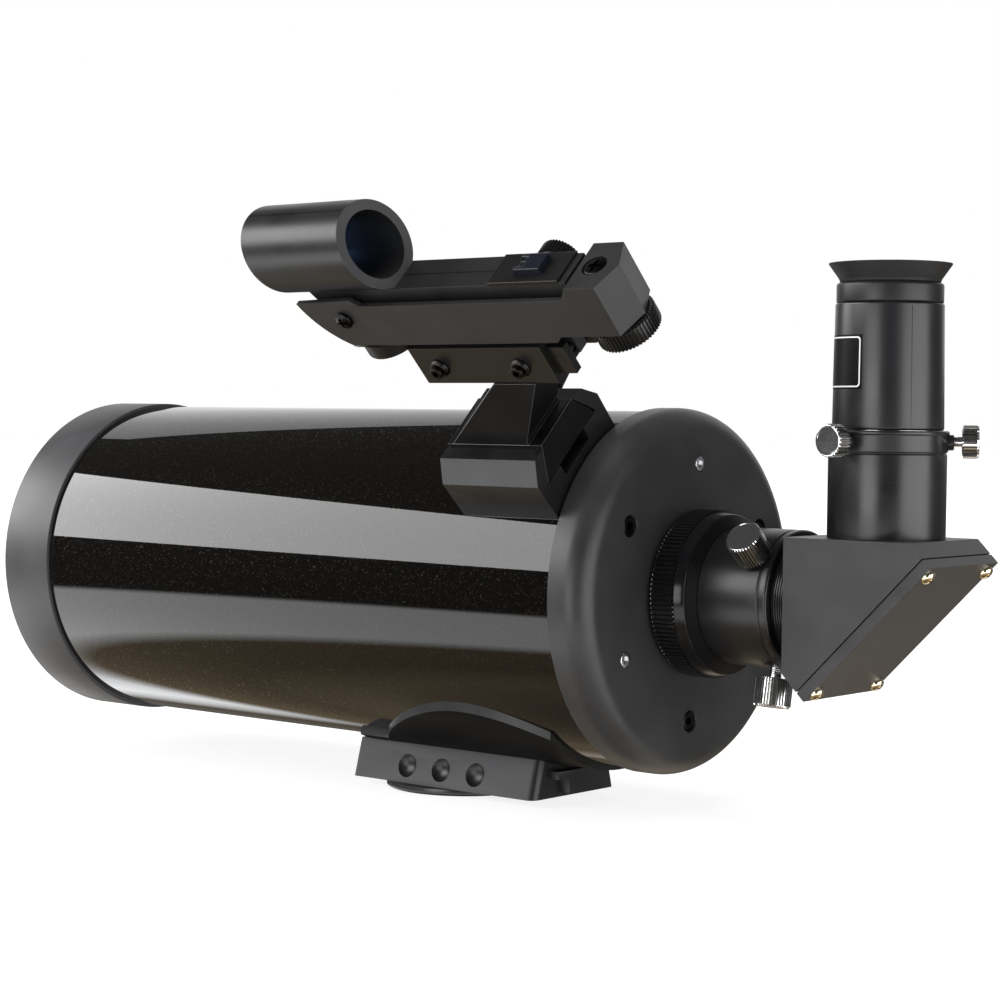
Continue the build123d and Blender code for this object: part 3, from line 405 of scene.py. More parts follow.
materials = {
    "tube_paint": flake_lacquer("tube_paint"),
    "cell_black": textured("cell_black", (0.009, 0.009, 0.0095), (0.015, 0.015, 0.0155), 0.36, 2600, 0.035,
                           specular=0.42),
    "ring_grey": textured("ring_grey", (0.036, 0.036, 0.038), (0.048, 0.048, 0.051), 0.42, 3000, 0.03),
    "anodised_black": textured("anodised_black", (0.006, 0.006, 0.007), (0.010, 0.010, 0.012), 0.31, 1800,
                               0.012, specular=0.6),
    "glass": optical_glass("glass", (0.90, 0.96, 1.0), (0.55, 0.75, 1.0)),
    "mirror_coat": plated("mirror_coat", (0.93, 0.93, 0.94), 0.0, 60.0, 0.0),
    "raw_aluminium": plated("raw_aluminium", (0.62, 0.62, 0.64), 0.28),
    "brass": plated("brass", (0.78, 0.60, 0.28), 0.25),
    "gold_nickel": plated("gold_nickel", (0.88, 0.78, 0.56), 0.12),
    "black_steel": plated("black_steel", (0.030, 0.028, 0.027), 0.28),
    "bright_steel": plated("bright_steel", (0.74, 0.74, 0.76), 0.22),
    "chrome": plated("chrome", (0.84, 0.84, 0.85), 0.13),
    "rubber": textured("rubber", (0.010, 0.010, 0.011), (0.016, 0.016, 0.017), 0.55, 1500, 0.03,
                       specular=0.35),
    "black_plastic": textured("black_plastic", (0.0055, 0.0053, 0.0052), (0.0095, 0.009, 0.0088), 0.30, 2100,
                              0.02, specular=0.42),
    "dark_window": textured("dark_window", (0.006, 0.007, 0.011), (0.009, 0.011, 0.017), 0.14, 500, 0.004),
    "clear_plastic": optical_glass("clear_plastic", (0.97, 0.98, 0.98), (1.0, 1.0, 1.0)),
}
polished_black = textured("polished_black", (0.005, 0.005, 0.006), (0.008, 0.008, 0.009), 0.12, 900, 0.004,
                          specular=0.7)
rim_black = textured("rim_black", (0.004, 0.004, 0.0045), (0.006, 0.006, 0.007), 0.16, 900, 0.004,
                     specular=0.3)
cast_black = textured("cast_black", (0.021, 0.021, 0.0215), (0.030, 0.030, 0.031), 0.38, 2600, 0.05,
                      specular=0.42)
housing_black = textured("housing_black", (0.020, 0.020, 0.021), (0.028, 0.028, 0.0295), 0.40, 1700, 0.05,
                         specular=0.5)
channel_black = textured("channel_black", (0.016, 0.016, 0.0165), (0.023, 0.023, 0.024), 0.34, 2100, 0.02,
                         specular=0.40)
sight_rim = textured("sight_rim", (0.036, 0.036, 0.038), (0.048, 0.048, 0.050), 0.40, 2100, 0.02)
# Darker metal for the bottoms of the knurl grooves: painted shade in the recesses.
groove_shade_metal = plated("groove_shade_metal", (0.36, 0.35, 0.33), 0.25)
barrel_satin = textured("barrel_satin", (0.004, 0.004, 0.0045), (0.007, 0.007, 0.008), 0.30, 2600, 0.03)
# Near-black with almost no gloss: painted shade, for the saddle's downward faces and the visual back's cone.
painted_shade_black = textured("painted_shade_black", (0.003, 0.003, 0.0035), (0.005, 0.005, 0.0055), 0.42, 1500, 0.02,
                        specular=0.05)
shoe_gloss = textured("shoe_gloss", (0.006, 0.006, 0.0065), (0.010, 0.010, 0.011), 0.24, 2100, 0.03,
                      specular=0.75)
# A darker, nearly glossless copy of the black plastic for the finder foot: painted shade.
foot_shade_black = textured("foot_shade_black", (0.005, 0.005, 0.0055), (0.008, 0.008, 0.0085), 0.32, 2100, 0.02,
                      specular=0.1)
# Light grey for rounded edges: painted edge highlight, partly edge wear.
edge_wear_and_highlight = textured("edge_wear_and_highlight", (0.10, 0.10, 0.10), (0.17, 0.17, 0.17), 0.35, 1500, 0.03)
sight_satin = textured("sight_satin", (0.010, 0.010, 0.0105), (0.016, 0.016, 0.017), 0.33, 2100, 0.03)
bar_satin = textured("bar_satin", (0.048, 0.048, 0.051), (0.058, 0.058, 0.062), 0.45, 2400, 0.02,
                     specular=0.2)
riser_satin = textured("riser_satin", (0.006, 0.006, 0.007), (0.010, 0.010, 0.012), 0.31, 2200, 0.012,
                       specular=0.6)
reflex_coating = optical_glass("reflex_coating", (0.30, 0.42, 0.60), (0.5, 0.7, 1.0))
panel_black = textured("panel_black", (0.004, 0.004, 0.0045), (0.006, 0.006, 0.007), 0.35, 900, 0.006,
                       specular=0.12)
white_print = textured("white_print", (0.70, 0.70, 0.69), (0.78, 0.78, 0.77), 0.5, 2500, 0.004)
for node, obj in nodes.items():
    obj.data.materials.clear()
    obj.data.materials.append(materials[node_slot[node]])


# ------------------------------------------------------------------ optical tube
TUBE_R = (tube_high.x - tube_low.x) / 2 / MM
TUBE_L = (tube_high.y - tube_low.y) / MM
CELL_R = 58.0
LIP_R = 54.6
GLASS_R = 52.1
RIM_Y = 256.9
REAR_Y = -13.5
SCREW_CIRCLE_R = 40.6
COLLIMATION_ANGLES = [radians(27.5 + 120 * k) for k in range(3)]
LOCK_ANGLES = [a + radians(60) for a in COLLIMATION_ANGLES]
BACK = (0, -1, 0)
BARREL_R = 15.98


def optical_tube():
    bore = TUBE_R - 1.9
    shell = [(0.0, TUBE_R), (TUBE_L, TUBE_R), (TUBE_L, bore), (0.0, bore)]
    turned("tube_shell", soften(shell, 0.3), OPTICAL, "main_tube", 288)
    steps = 5
    cone = []  # stepped grooves from the lip down to the glass, against stray light
    for k in range(steps):
        y = RIM_Y - 0.6 - k * 1.0
        r = LIP_R - (LIP_R - GLASS_R) * k / steps
        cone += [(y, r - 0.15), (y - 0.25, r + 0.25), (y - 0.6, r + 0.25), (y - 0.75, r - 0.25)]
    outline = [(TUBE_L, CELL_R), (RIM_Y, CELL_R), (RIM_Y, LIP_R + 0.2)] + cone
    outline += [(251.0, GLASS_R + 0.1), (249.5, GLASS_R + 0.1), (236.5, GLASS_R + 0.1), (236.5, 50.3),
                (TUBE_L, 50.3), (229.8, 52.6), (224.8, 52.6), (224.8, 54.8), (TUBE_L, 54.8)]
    turned("objective_cell", soften(outline, 0.55), OPTICAL, "front_cell", 288)


def cell_screw_at(angle, depth, across):
    """A place on the rear face's screw circle, sunk by a depth, that looks backward."""
    return placement((SCREW_CIRCLE_R * cos(angle), REAR_Y + depth, SCREW_CIRCLE_R * sin(angle)), BACK, across)


def rear_casting():
    shoulder = 7.5
    arc = []
    for k in range(13):
        a = pi / 2 * k / 12
        arc.append((-6.0 - shoulder * sin(a), CELL_R - shoulder + shoulder * cos(a)))
    outline = [(-0.35, CELL_R)] + arc
    outline += [(REAR_Y, 20.0), (-23.5, 20.0), (-23.5, 17.0), (-9.5, 17.0), (-9.5, 52.6), (10.0, 52.6),
                (10.0, 54.8), (0.0, 54.8), (0.0, CELL_R - 0.35)]
    piece = turned("rear_casting", outline, OPTICAL, "rear_cell", 288, material=cast_black)
    cutters = []
    well = [(0.6, 0), (0.6, 4.0), (-0.35, 3.4), (-2.6, 3.4), (-2.6, 0)]
    countersink = [(0.6, 0), (0.6, 2.5), (-0.9, 2.5), (-0.9, 0)]
    for collimation, lock in zip(COLLIMATION_ANGLES, LOCK_ANGLES):
        cutters.append(turned_mesh(well, cell_screw_at(collimation, 0.0, (1, 0, 0)), 48))
        cutters.append(turned_mesh(countersink, cell_screw_at(lock, 0.0, (1, 0, 0)), 48))
    carved(piece, cutters)


def socket_cap(name, node, at, radius, height, key, shank, sides=6, dome=0.0):
    """A screw head along a placement's z, with a six-sided or a crossed recess, and its shank below."""
    shank_radius, shank_length = shank
    outline = [(height, 0), (height - dome * 0.3, radius * 0.55), (height - dome, radius * 0.9),
               (height - dome - 0.25, radius), (0.0, radius), (0.0, shank_radius),
               (-shank_length, shank_radius), (-shank_length, 0)]
    piece = turned(name, soften(outline, 0.15, 2, False), at, node, 64)
    depth = min(height * 0.7, 1.8)
    shape = polygon(key, 6, 0.3) if sides == 6 else cross_outline(key, key * 0.42)
    carved(piece, [prism_mesh(shape, at, height - depth, height + 1.0)])


def cell_screws():
    for k, (a, b) in enumerate(zip(COLLIMATION_ANGLES, LOCK_ANGLES)):
        at = cell_screw_at(a, 2.6, (cos(a), 0, sin(a)))
        socket_cap(f"collimation_screw_{k}", "collimation_screws", at, 2.75, 2.1, 1.35, (2.0, 5.0))
        at = cell_screw_at(b, 0.9, (cos(b), 0, sin(b)))
        socket_cap(f"lock_screw_{k}", "lock_screws", at, 2.35, 1.05, 1.4, (1.5, 3.6), dome=0.05)


# ------------------------------------------------------------------ thumbscrews and knobs
def thumbscrew(name, node, at, shaft, tip, head, low, high, teeth):
    """A plated thumbscrew along a placement's z, the faces in its straight knurl's grooves painted darker
    metal as shade.
    """
    cut = head * 0.10
    core = head - cut
    dish = 0.1
    outline = [(tip, 0), (tip, shaft - 0.3), (tip + 0.3, shaft)]
    y = tip + 0.6
    while y < low - 1.2:
        outline += [(y, shaft), (y + 0.18, shaft - 0.14), (y + 0.36, shaft)]
        y += 0.6
    knurl_low, knurl_high = low + 0.35, high - 0.6
    outline += [(low, shaft), (low, core - 0.6), (knurl_low, core), (knurl_low, head),
                (knurl_high, head), (knurl_high, head - 0.02), (high - 0.1, head - 0.35), (high, head - 0.6),
                (high, head - 0.9), (high - dish, head - 1.0), (high - dish, 0)]
    piece = turned(name, outline, at, node, teeth * 6, [(knurl_low, knurl_high, teeth, cut)], 28)
    piece.data.materials.append(groove_shade_metal)
    # Faces at the bottom of the knurl grooves take the darker metal: painted shade.
    back = at.inverted()
    for face in piece.data.polygons:
        place = back @ face.center
        reach = Vector((place.x, place.y)).length
        if knurl_low + 0.01 < place.z < knurl_high - 0.01 and reach < head - cut * 0.3:
            face.material_index = 1


def all_thumbscrews():
    for key, angle, high in (("a", 139.5, 30.8), ("b", 259.5, 33.4)):
        a = radians(angle)
        at = placement((0, -46.8, 0), (cos(a), 0, sin(a)), (0, 1, 0))
        thumbscrew(f"visual_back_screw_{key}", f"visual_back_thumbscrew_{key}", at, 1.9, 16.3, 5.7,
                   high - 9.0, high, 38)
    for key, angle in HOLDER_SCREWS:
        a = radians(angle)
        at = placement((0, RISER_Y, 48.8), (cos(a), sin(a), 0), (0, 0, 1))
        thumbscrew(f"holder_screw_{key}", f"diagonal_thumbscrew_{key}", at, 1.5, 16.3, 4.9, 21.6, 26.5, 26)


def ribbed_knob(name, node, at, radius, low, high, ribs, cut, round_over=0.5, centre=0.0):
    """A knob along a placement's z, ribbed round its edge."""
    core = radius - cut
    outline = [(low, centre), (low, core - 0.6), (low + 0.4, core), (low + 0.4, radius - 0.1),
               (low + 0.7, radius), (high - 0.7, radius), (high - 0.4, radius - 0.1), (high - 0.4, core),
               (high, core - round_over), (high, core - 1.6), (high - 0.35, core - 1.9),
               (high - 0.35, centre)]
    return turned(name, outline, at, node, ribs * 6, [(low + 0.4, high - 0.4, ribs, cut)], 30)


# ------------------------------------------------------------------ visual back and diagonal
def visual_back():
    turned("visual_back_locking_ring",
           [(-14.2, 20.1), (-14.2, 25.2), (-15.0, 25.9), (-15.4, 25.9), (-15.4, 26.3), (-23.0, 26.3),
            (-23.0, 25.85), (-23.4, 25.6), (-23.4, 20.1)],
           OPTICAL, "visual_back_ring", 110 * 6, [(-23.0, -15.4, 110, 0.5)], 26, material=polished_black)
    rim = [(-23.5, 24.0), (-23.5, 25.9), (-23.8, 26.1), (-26.6, 25.1), (-26.9, 24.9), (-27.0, 24.0)]
    turned("visual_back_rim", soften(rim, 0.2), OPTICAL, "visual_back_barrel", 192, material=rim_black)
    cone = [(-23.6, 21.0), (-23.6, 24.4), (-27.0, 24.6), (-27.3, 24.2), (-28.6, 22.2), (-29.2, 21.4),
            (-29.2, 21.0)]
    # The cone is near-black with almost no gloss: painted shade.
    turned("visual_back_cone", soften(cone, 0.2), OPTICAL, "visual_back_barrel", 192, material=painted_shade_black)
    outline = [(-23.6, 20.8), (-29.0, 20.8), (-29.2, 21.3), (-50.4, 21.3), (-50.6, 21.0), (-51.0, 21.0),
               (-51.2, 21.3), (-53.4, 21.3), (-53.9, 20.8), (-53.9, 16.3), (-53.5, BARREL_R),
               (-30.0, BARREL_R), (-30.0, 13.5), (-15.5, 13.5), (-15.5, 16.9), (-23.6, 16.9)]
    turned("visual_back_socket", soften(outline, 0.3), OPTICAL, "visual_back_barrel", 192,
           material=barrel_satin)


def star_diagonal():
    outline = [(-31.0, 13.6), (-31.0, 15.3), (-31.6, 15.87), (-54.3, 15.87), (-54.3, 18.9)]
    y = -54.7
    while y > -58.6:
        outline += [(y, 19.0), (y - 0.2, 18.55), (y - 0.45, 18.55), (y - 0.65, 19.0)]
        y -= 0.8
    outline += [(-59.1, 19.0), (-59.1, 13.6)]
    turned("diagonal_nose", outline, OPTICAL, "diagonal_nosepiece", 144)
    refined("diagonal_housing", 0.55, 3, material=housing_black)
    corner_y, corner_z, lower_y = -105.6, 15.9, -64.2
    half, length, groove = 20.1, sqrt(2) * (lower_y - corner_y), 0.7
    face = placement((0, corner_y, corner_z), (0, -1, -1), (1, 0, 0))
    edges = [((half - groove, -length - 1), (half + 1, 1)),
             ((-half - 1, -length - 1), (groove - half, 1)),
             ((-half - 1, -groove), (half + 1, 1)),
             ((-half - 1, -length - 1), (half + 1, groove - length))]
    grooves = []
    for (x0, y0), (x1, y1) in edges:
        grooves.append(prism_mesh([(x0, y0), (x1, y0), (x1, y1), (x0, y1)], face, -0.3, 0.5))
    refined("diagonal_cover", 0.35, 3, cutters=grooves, material=housing_black)
    slope = Vector((0, -1, -1)).normalized()
    up_slope = Vector((0, -1, 1)).normalized()
    corner = Vector((0, corner_y, corner_z))
    thickness = 3.8
    for i, x in enumerate((-17.0, 17.0)):
        for k, y in enumerate((-3.7, -length + 3.7)):
            place = corner + Vector((x, 0, 0)) + up_slope * y + slope * thickness
            at = placement(place, slope, (1, 0, 0))
            dome = [(1.9, 0)]
            for step in range(1, 9):
                a = pi / 2 * step / 8
                dome.append((1.9 * cos(a) ** 0.8, 2.4 * sin(a)))
            outline = dome + [(0, 1.2), (-10.0, 1.2), (-10.0, 0)]
            piece = turned(f"cover_screw_{i}{k}", outline, at, "cover_screws", 48)
            carved(piece, [prism_mesh(cross_outline(1.15, 0.5), at, 0.95, 3.0)])


def holder_and_eyepiece():
    outline = [(20.0, 13.9), (20.0, 17.4), (44.9, 17.4), (45.15, 17.15), (45.5, 17.15), (45.7, 17.65),
               (50.6, 17.65), (50.8, 18.0), (51.6, 18.0), (51.9, 17.7), (51.9, 16.3), (51.4, BARREL_R),
               (23.0, BARREL_R), (23.0, 13.9)]
    turned("eyepiece_socket", soften(outline, 0.22), RISER, "eyepiece_holder", 192, material=riser_satin)
    for key, angle in HOLDER_SCREWS:
        a = radians(angle)
        at = placement((0, RISER_Y, 48.5), (cos(a), sin(a), 0), (0, 0, 1))
        boss = soften([(16.6, 1.6), (16.6, 2.3), (19.0, 2.3), (19.3, 2.0), (19.3, 1.6)], 0.2)
        turned(f"screw_boss_{key}", boss, at, "eyepiece_holder", 48)
    body = [(51.95, 14.6), (51.95, 16.1), (52.6, 16.4), (88.8, 15.9), (89.2, 15.6), (89.2, 13.0),
            (60.0, 13.0), (57.0, 14.6)]
    turned("eyepiece_shell", soften(body, 0.3), RISER, "eyepiece_body", 192)
    ring = [(89.25, 12.0), (89.25, 15.3), (89.6, 15.7), (94.6, 15.7), (95.2, 15.2), (95.2, 12.4),
            (93.0, 12.4), (93.0, 12.0)]
    turned("eyepiece_clamp_ring", soften(ring, 0.35), RISER, "eyepiece_top_ring", 192,
           material=materials["cell_black"])
    cup = [(95.2, 12.8), (95.2, 14.7), (96.2, 14.9), (100.6, 18.0), (101.0, 18.15), (101.0, 17.5),
           (100.5, 17.1), (97.2, 14.2), (96.4, 12.8)]
    turned("rubber_eyecup", soften(cup, 0.45, 4), RISER, "eyecup", 192)
    seam_angle, seam_low, seam_high = radians(234.5), 53.0, 88.0
    seam_line = placement((0, RISER_Y, 0), (0, 0, 1), (cos(seam_angle), sin(seam_angle), 0))
    section = [(15.6, -0.16), (16.1, -0.1), (16.1, 0.1), (15.6, 0.16)]
    strip = prism_mesh(section, seam_line, seam_low, seam_high)
    for vertex in strip.verts:
        local = seam_line.inverted() @ vertex.co
        local.x += 0.4 * (seam_high - local.z) / (seam_high - seam_low)
        vertex.co = seam_line @ local
    finish_mesh("eyepiece_mould_line", strip, "eyepiece_body")


def label_panel():
    """A plain blank panel with a thin light frame on the eyepiece's side."""
    made_plate = bmesh.new()
    made_frame = bmesh.new()
    middle = radians(150)
    half_arc = radians(33)
    shell_r = 16.1
    low, high, corner = 63.5, 80.0, 1.6

    def outline(inset, lift, count=8):
        """A wrapped rectangle with round corners, its straight sides in short steps."""
        points = []
        half_width = half_arc * shell_r - inset
        half_height = (high - low) / 2 - inset
        turn = corner - inset * 0.6
        for sx, sy, start in ((1, 1, 0), (-1, 1, 90), (-1, -1, 180), (1, -1, 270)):
            for k in range(count + 1):
                a = radians(start + 90 * k / count)
                points.append((sx * (half_width - turn) + turn * cos(a),
                               sy * (half_height - turn) + turn * sin(a)))
        fine = []
        for k, (u, v) in enumerate(points):
            next_u, next_v = points[(k + 1) % len(points)]
            parts = 16 if k % (count + 1) == count else 1
            fine += [(u + (next_u - u) * m / parts, v + (next_v - v) * m / parts) for m in range(parts)]
        return [wrapped(u, v, lift) for u, v in fine]

    def wrapped(u, v, lift):
        """A point of the flat panel laid on the slightly tapered shell."""
        z = (low + high) / 2 + v
        radius = 16.4 - 0.5 * (z - 52.7) / 35.5 + lift
        angle = middle + u / shell_r
        return RISER @ Vector((radius * cos(angle), radius * sin(angle), z))

    columns, rows = 24, 8
    grid = {}
    for i in range(columns + 1):
        for j in range(rows + 1):
            u = (2 * i / columns - 1) * (half_arc * shell_r - 0.3)
            v = (2 * j / rows - 1) * ((high - low) / 2 - 0.3)
            grid[i, j] = [made_plate.verts.new(wrapped(u, v, lift)) for lift in (0.07, -0.1)]
    for i in range(columns):
        for j in range(rows):
            corners = [grid[i, j], grid[i + 1, j], grid[i + 1, j + 1], grid[i, j + 1]]
            made_plate.faces.new([c[0] for c in corners])
            made_plate.faces.new([c[1] for c in reversed(corners)])
    edge = [(i, 0) for i in range(columns)] + [(columns, j) for j in range(rows)]
    edge += [(i, rows) for i in range(columns, 0, -1)] + [(0, j) for j in range(rows, 0, -1)]
    for k, place in enumerate(edge):
        a, b = grid[place], grid[edge[(k + 1) % len(edge)]]
        made_plate.faces.new((a[0], a[1], b[1], b[0]))
    finish_mesh("panel_plate", made_plate, "eyepiece_body", material=panel_black)
    loops = [outline(0.9, 0.05), outline(0.9, 0.11), outline(1.3, 0.11), outline(1.3, 0.05)]
    rings = [[made_frame.verts.new(p) for p in loop] for loop in loops]
    for i in range(4):
        first, second = rings[i], rings[(i + 1) % 4]
        for k in range(len(first)):
            m = (k + 1) % len(first)
            made_frame.faces.new((first[k], first[m], second[m], second[k]))
    finish_mesh("panel_frame", made_frame, "eyepiece_body", material=white_print)


# ------------------------------------------------------------------ dovetail
def dovetail():
    """The bar, grey on its flat sides and painted black as shade on its top, bottom, ends and recesses; its
    saddle, painted near-black as shade on its downward faces; and the tripod boss.
    """
    bar = refined("dovetail_bar", 0.45, 3, 40, material=bar_satin)
    # Faces off the bar's outermost flat sides take black: painted shade on the top, bottom, ends and
    # recesses.
    bar.data.materials.append(materials["cell_black"])
    for face in bar.data.polygons:
        if abs(face.normal.x) < 0.6:
            face.material_index = 1
    sides = [face for face in bar.data.polygons if face.material_index == 0]
    for side in (-1, 1):
        facing = [face for face in sides if face.normal.x * side > 0]
        flat = max(facing, key=lambda face: face.area).normal.copy()
        reach = max(flat.dot(face.center) for face in facing)
        for face in facing:
            if flat.dot(face.center) < reach - 0.1 * MM:
                face.material_index = 1
    saddle = refined("dovetail_saddle", 0.5, 3, 40, material=painted_shade_black)
    # Downward faces keep the near-black as painted shade under the saddle; the other faces take the cell
    # black.
    saddle.data.materials.append(materials["cell_black"])
    for face in saddle.data.polygons:
        if face.normal.z > -0.1:
            face.material_index = 1
    base_z, thread_y = -71.3, 82.0
    boss = [(base_z, 3.3), (base_z, 25.4), (-70.8, 26.0), (-69.0, 26.0), (-69.0, 12.0), (-62.1, 12.0),
            (-62.1, 0), (-63.3, 0), (-63.3, 3.2)]
    outline = [(height - base_z, radius) for height, radius in boss]
    at = placement((0, thread_y, base_z), (0, 0, 1), (1, 0, 0))
    turned("tripod_boss_turned", soften(outline, 0.3), at, "tripod_boss", 144)


# ------------------------------------------------------------------ finder
CHANNEL_HALF = 9.5
ALTITUDE_Y = -46.0
DECK_N = 135.5


def finder_mount():
    # The foot takes the darker, nearly glossless black: painted shade.
    for node, material in (("finder_shoe", shoe_gloss), ("finder_foot", foot_shade_black)):
        piece = refined(node, 0.25, 3, 30, material=material)
        # Rounded edges take the light grey: painted edge highlight, partly edge wear.
        piece.data.materials.append(edge_wear_and_highlight)
        piece.modifiers["edge"].material = 1
    refined("finder_bracket", 0.25, 2, 30)
    refined("finder_slide", 0.25, 2, 30)
    for i, (y, n) in enumerate(((21.7, 107.0), (-9.2, 107.0))):
        at = placement(in_finder(-CHANNEL_HALF, y, n), -ACROSS, (0, 1, 0))
        washer = soften([(0.0, 1.4), (0.0, 3.2), (0.5, 3.2), (1.5, 2.5), (1.5, 1.4)], 0.15)
        turned(f"bracket_washer_{i}", washer, at, "bracket_screws", 48)
        head = placement(in_finder(-CHANNEL_HALF - 1.4, y, n), -ACROSS, (0, 1, 0))
        socket_cap(f"bracket_screw_{i}", "bracket_screws", head, 2.1, 1.7, 1.15, (1.5, 20.0))
        nut = placement(in_finder(CHANNEL_HALF, y, n), ACROSS, (0, 1, 0))
        finish_mesh(f"bracket_nut_{i}", prism_mesh(polygon(3.0, 6), nut, 0.0, 2.2), "bracket_screws")


def finder_body():
    ridge, corner = -54.4, -50.9
    facets = []  # two flats that meet in a ridge at the rear end
    for side in (-1, 1):
        slope = (corner - ridge) / CHANNEL_HALF
        near, far = (-0.5 * side, ridge - 0.5 * slope), (12.0 * side, ridge + 12.0 * slope)
        facets.append(prism_mesh([near, far, (far[0], -60.0), (near[0], -60.0)], FINDER, 117.8, 136.6))
    refined("finder_channel", 0.35, 2, 30, cutters=facets, material=channel_black)
    sight = refined("sight_body", 0.3, 2, 34, material=sight_satin)
    sight.data.materials.append(sight_rim)
    for face in sight.data.polygons:
        if face.normal.y < -0.9 and OUTWARD.dot(face.center - seam) > 133 * MM:
            face.material_index = 1
    pivot_y, pivot_n = 47.5, 127.0
    at = placement(in_finder(-CHANNEL_HALF, pivot_y, pivot_n), -ACROSS, (0, 1, 0))
    socket_cap("pivot_head", "pivot_screw", at, 2.9, 2.0, 1.8, (1.5, 19.0), sides=4, dome=0.7)
    nut = placement(in_finder(CHANNEL_HALF, pivot_y, pivot_n), ACROSS, (0, 1, 0))
    finish_mesh("pivot_nut", prism_mesh(polygon(3.0, 6), nut, 0.0, 2.0), "pivot_screw")
    top = placement(in_finder(0, ALTITUDE_Y, 134.4 + 0.35), OUTWARD, ACROSS)
    socket_cap("altitude_screw_head", "altitude_screw", top, 3.4, 1.4, 2.2, (1.75, 21.0), sides=4, dome=0.25)
    knob = placement(in_finder(0, ALTITUDE_Y, 0), OUTWARD, ACROSS)
    ribbed_knob("altitude_knob_ribbed", "altitude_knob", knob, 9.6, 111.75, 117.95, 52, 0.5)
    side = placement(in_finder(0, -22.0, 127.4), ACROSS, (0, 1, 0))
    ribbed_knob("brightness_knob_ribbed", "brightness_knob", side, 6.6, 10.0, 15.0, 40, 0.4)
    side = placement(in_finder(0, -23.4, 108.0), ACROSS, (0, 1, 0))
    ribbed_knob("azimuth_knob_ribbed", "azimuth_knob", side, 5.2, 9.9, 14.9, 30, 0.35)
    screw = [(-7.6, 0), (-7.6, 1.5), (10.0, 1.5), (10.0, 0)]
    turned("azimuth_knob_shaft", screw, side, "azimuth_knob", 32)
    slot_at = placement(in_finder(0, -20.0, 138.6), OUTWARD, ACROSS)
    slot = [(-2.0, -3.0), (2.0, -3.0), (2.0, 4.0), (-2.0, 4.0)]
    refined("led_housing", 0.3, 2, 30, cutters=[prism_mesh(slot, slot_at, -1.8, 1.0)])
    deck = placement(in_finder(0, 0, DECK_N), OUTWARD, ACROSS)
    platform = prism_mesh([(-6.2, -36.5), (6.2, -36.5), (6.2, -11.0), (-6.2, -11.0)], deck, -0.5, 0.8)
    bevelled(finish_mesh("led_platform", platform, "sight_body"), 0.25)
    line = prism_mesh([(-0.15, -11.2), (0.15, -11.2), (0.15, 27.0), (-0.15, 27.0)], deck, -0.2, 0.12)
    finish_mesh("rail_parting_line", line, "sight_body")
    sight_n, sight_r = 147.5, 13.2
    crown = placement(in_finder(0, 0, sight_n + sight_r), OUTWARD, ACROSS)
    line = prism_mesh([(-0.15, 33.0), (0.15, 33.0), (0.15, 71.0), (-0.15, 71.0)], crown, -0.2, 0.10)
    finish_mesh("tube_parting_line", line, "sight_body")
    refined("reflex_lens", 0.1, 1, 60, material=reflex_coating)


def focus_control():
    at = placement((45.5, 0, 6.0), BACK, (1, 0, 0))
    ribbed_knob("focus_knob_ribbed", "focus_knob", at, 12.0, 16.2, 26.7, 30, 0.7, 0.9)


optical_tube()
rear_casting()
cell_screws()
visual_back()
all_thumbscrews()
focus_control()
star_diagonal()
holder_and_eyepiece()
label_panel()
dovetail()
finder_mount()
finder_body()


# ------------------------------------------------------------------ floor, light and camera
def floor():
    """Pale paper under the object. It glows a little, to stay as bright as the background."""
    made = bmesh.new()
    bmesh.ops.create_circle(made, cap_ends=True, radius=9.0, segments=96)
    mesh = mesh_of("floor", made)
    obj = add_object("floor", mesh)
    obj.location.z = cad_low.z
    material, _, shader = shader_of("floor_paper")
    shader.inputs["Base Color"].default_value = (0.30, 0.30, 0.30, 1)
    shader.inputs["Emission Color"].default_value = (1, 1, 1, 1)
    shader.inputs["Emission Strength"].default_value = 0.84
    shader.inputs["Roughness"].default_value = 0.8
    shader.inputs["Specular IOR Level"].default_value = 0.1
    mesh.materials.append(material)
    obj.visible_glossy = False


def softbox(name, azimuth, elevation, distance, width, height, radiance, glossy=True, roll=0.0):
    """A rectangular light that faces the object, rolled about its own middle."""
    a, e = radians(azimuth), radians(elevation)
    centre = Vector((0, 0.02, 0.08))
    away = Vector((sin(a) * cos(e), -cos(a) * cos(e), sin(e)))
    light = bpy.data.lights.new(name, "AREA")
    light.shape = "RECTANGLE"
    light.size = width
    light.size_y = height
    light.energy = radiance * pi * width * height
    obj = add_object(name, light)
    obj.location = centre + away * distance
    obj.rotation_mode = "QUATERNION"
    obj.rotation_quaternion = away.to_track_quat("Z", "Y") @ Quaternion((0, 0, 1), radians(roll))
    obj.visible_camera = False
    obj.visible_glossy = glossy


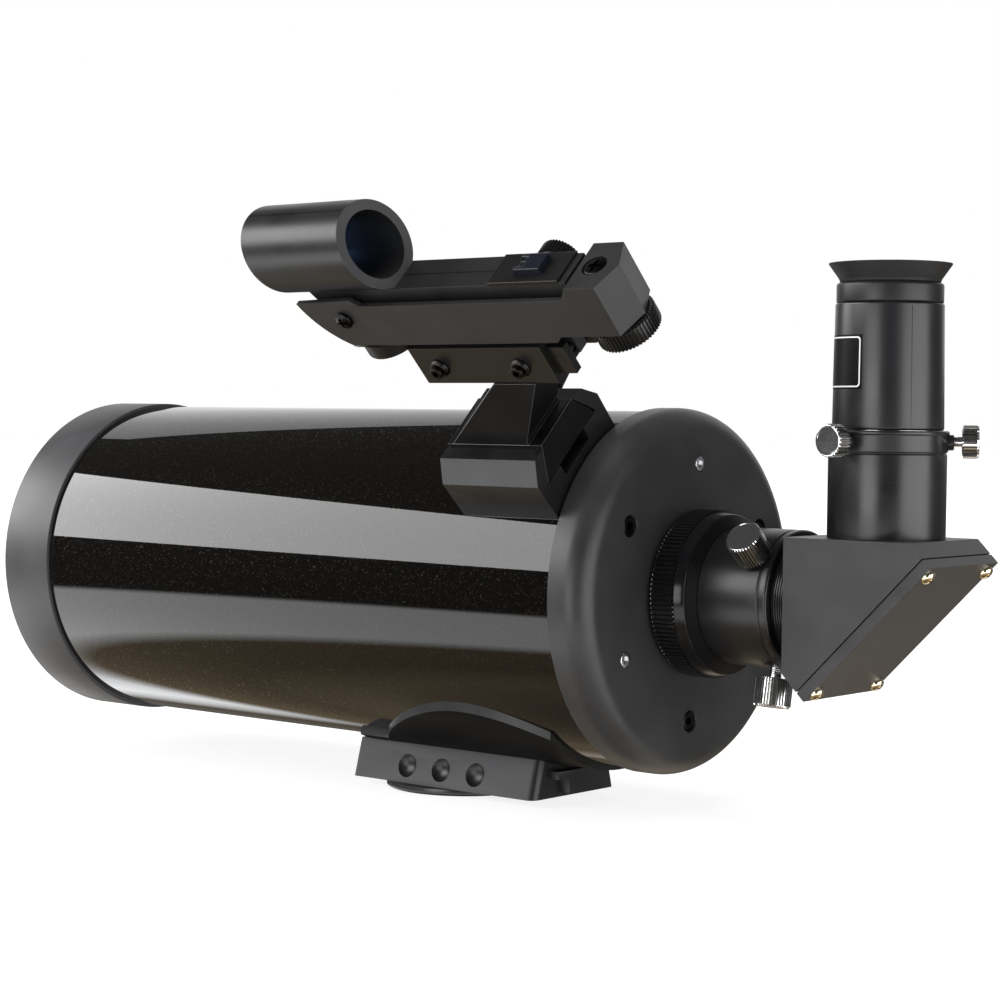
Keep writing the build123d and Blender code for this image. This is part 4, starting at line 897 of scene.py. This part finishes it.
def studio_gloss(tree):
    """What the object's gloss sees round the studio: bands by height, warm below, dark about level."""
    direction = tree.nodes.new("ShaderNodeTexCoord").outputs["Generated"]
    parts = node_of(tree, "ShaderNodeSeparateXYZ", [("Vector", direction)])
    height = ramp(tree, parts.outputs["Z"], -1.0, 1.0)
    pale, dark = (2.3, 2.33, 2.36), (0.05, 0.05, 0.05)
    near_top, far_top = (0.06, 0.06, 0.06), (0.16, 0.16, 0.165)
    near_bands = ((-1.0, (0.08, 0.07, 0.05)), (-0.86, (0.25, 0.20, 0.14)), (-0.76, (0.48, 0.38, 0.25)),
                  (-0.68, (0.30, 0.235, 0.15)), (-0.56, (0.36, 0.28, 0.18)), (-0.51, pale), (-0.26, pale),
                  (-0.23, dark), (0.20, near_top), (1.0, near_top))
    far_bands = ((-1.0, (0.60, 0.47, 0.30)), (-0.80, (1.2, 1.02, 0.82)), (-0.63, (1.0, 0.86, 0.69)),
                 (-0.57, (0.24, 0.20, 0.14)), (-0.46, (0.18, 0.15, 0.11)), (-0.10, (0.12, 0.12, 0.12)),
                 (0.20, far_top), (1.0, far_top))
    sides = []
    for bands in (near_bands, far_bands):
        made = node_of(tree, "ShaderNodeValToRGB", [("Fac", height)])
        sides.append(made.outputs["Color"])
        elements = made.color_ramp.elements
        for level, colour in bands[1:-1]:
            elements.new((level + 1) / 2)
        for element, (level, colour) in zip(elements, bands):
            element.position = (level + 1) / 2
            element.color = (*colour, 1)
    return mixed(tree, ramp(tree, parts.outputs["X"], 0.44, 0.57), *sides)


def lights():
    softbox("key_box", -144, 21.7, 5.0, 6.0, 2.35, 5.8, roll=6)
    softbox("side_box", -90, 1, 2.0, 1.1, 0.75, 4.4)
    softbox("rear_box", -2, 2, 1.8, 1.9, 0.95, 3.4)
    softbox("back_box", 120, 22.0, 4.0, 6.4, 2.9, 0.75)
    softbox("top_fill", -60, 74, 1.6, 1.2, 1.2, 2.2, glossy=False)
    sun = bpy.data.lights.new("overhead", "SUN")
    sun.energy = 2.6
    sun.angle = radians(50)
    add_object("overhead", sun).visible_glossy = False
    world = bpy.data.worlds.new("studio")
    world.use_nodes = True
    tree = world.node_tree
    background = tree.nodes["Background"]
    path = tree.nodes.new("ShaderNodeLightPath")
    plain = mixed(tree, path.outputs["Is Camera Ray"], (0.16, 0.16, 0.16), (1, 1, 1))
    seen = mixed(tree, path.outputs["Is Glossy Ray"], plain, studio_gloss(tree))
    tree.links.new(seen, background.inputs["Color"])
    bpy.context.scene.world = world
    bpy.context.scene.view_settings.view_transform = "Standard"


def camera():
    """The view from behind on the left: turned by yaw, tipped down by pitch, leaning by lean."""
    place = Vector((-0.60355, -0.51935, 0.12602))
    yaw, pitch, lean = radians(50.12), radians(2.05), radians(0.67)
    ahead = Vector((sin(yaw) * cos(pitch), cos(yaw) * cos(pitch), -sin(pitch)))
    right = Vector((cos(yaw), -sin(yaw), 0))
    up = right.cross(ahead)
    right, up = right * cos(lean) + up * sin(lean), up * cos(lean) - right * sin(lean)
    data = bpy.data.cameras.new("camera")
    data.lens = 84.19
    data.sensor_width = 36.0
    obj = add_object("camera", data)
    turn = Matrix((right, up, -ahead)).transposed().to_4x4()
    obj.matrix_world = Matrix.Translation(place) @ turn
    data.clip_start = 0.05
    data.clip_end = 50
    bpy.context.scene.camera = obj


floor()
lights()
camera()
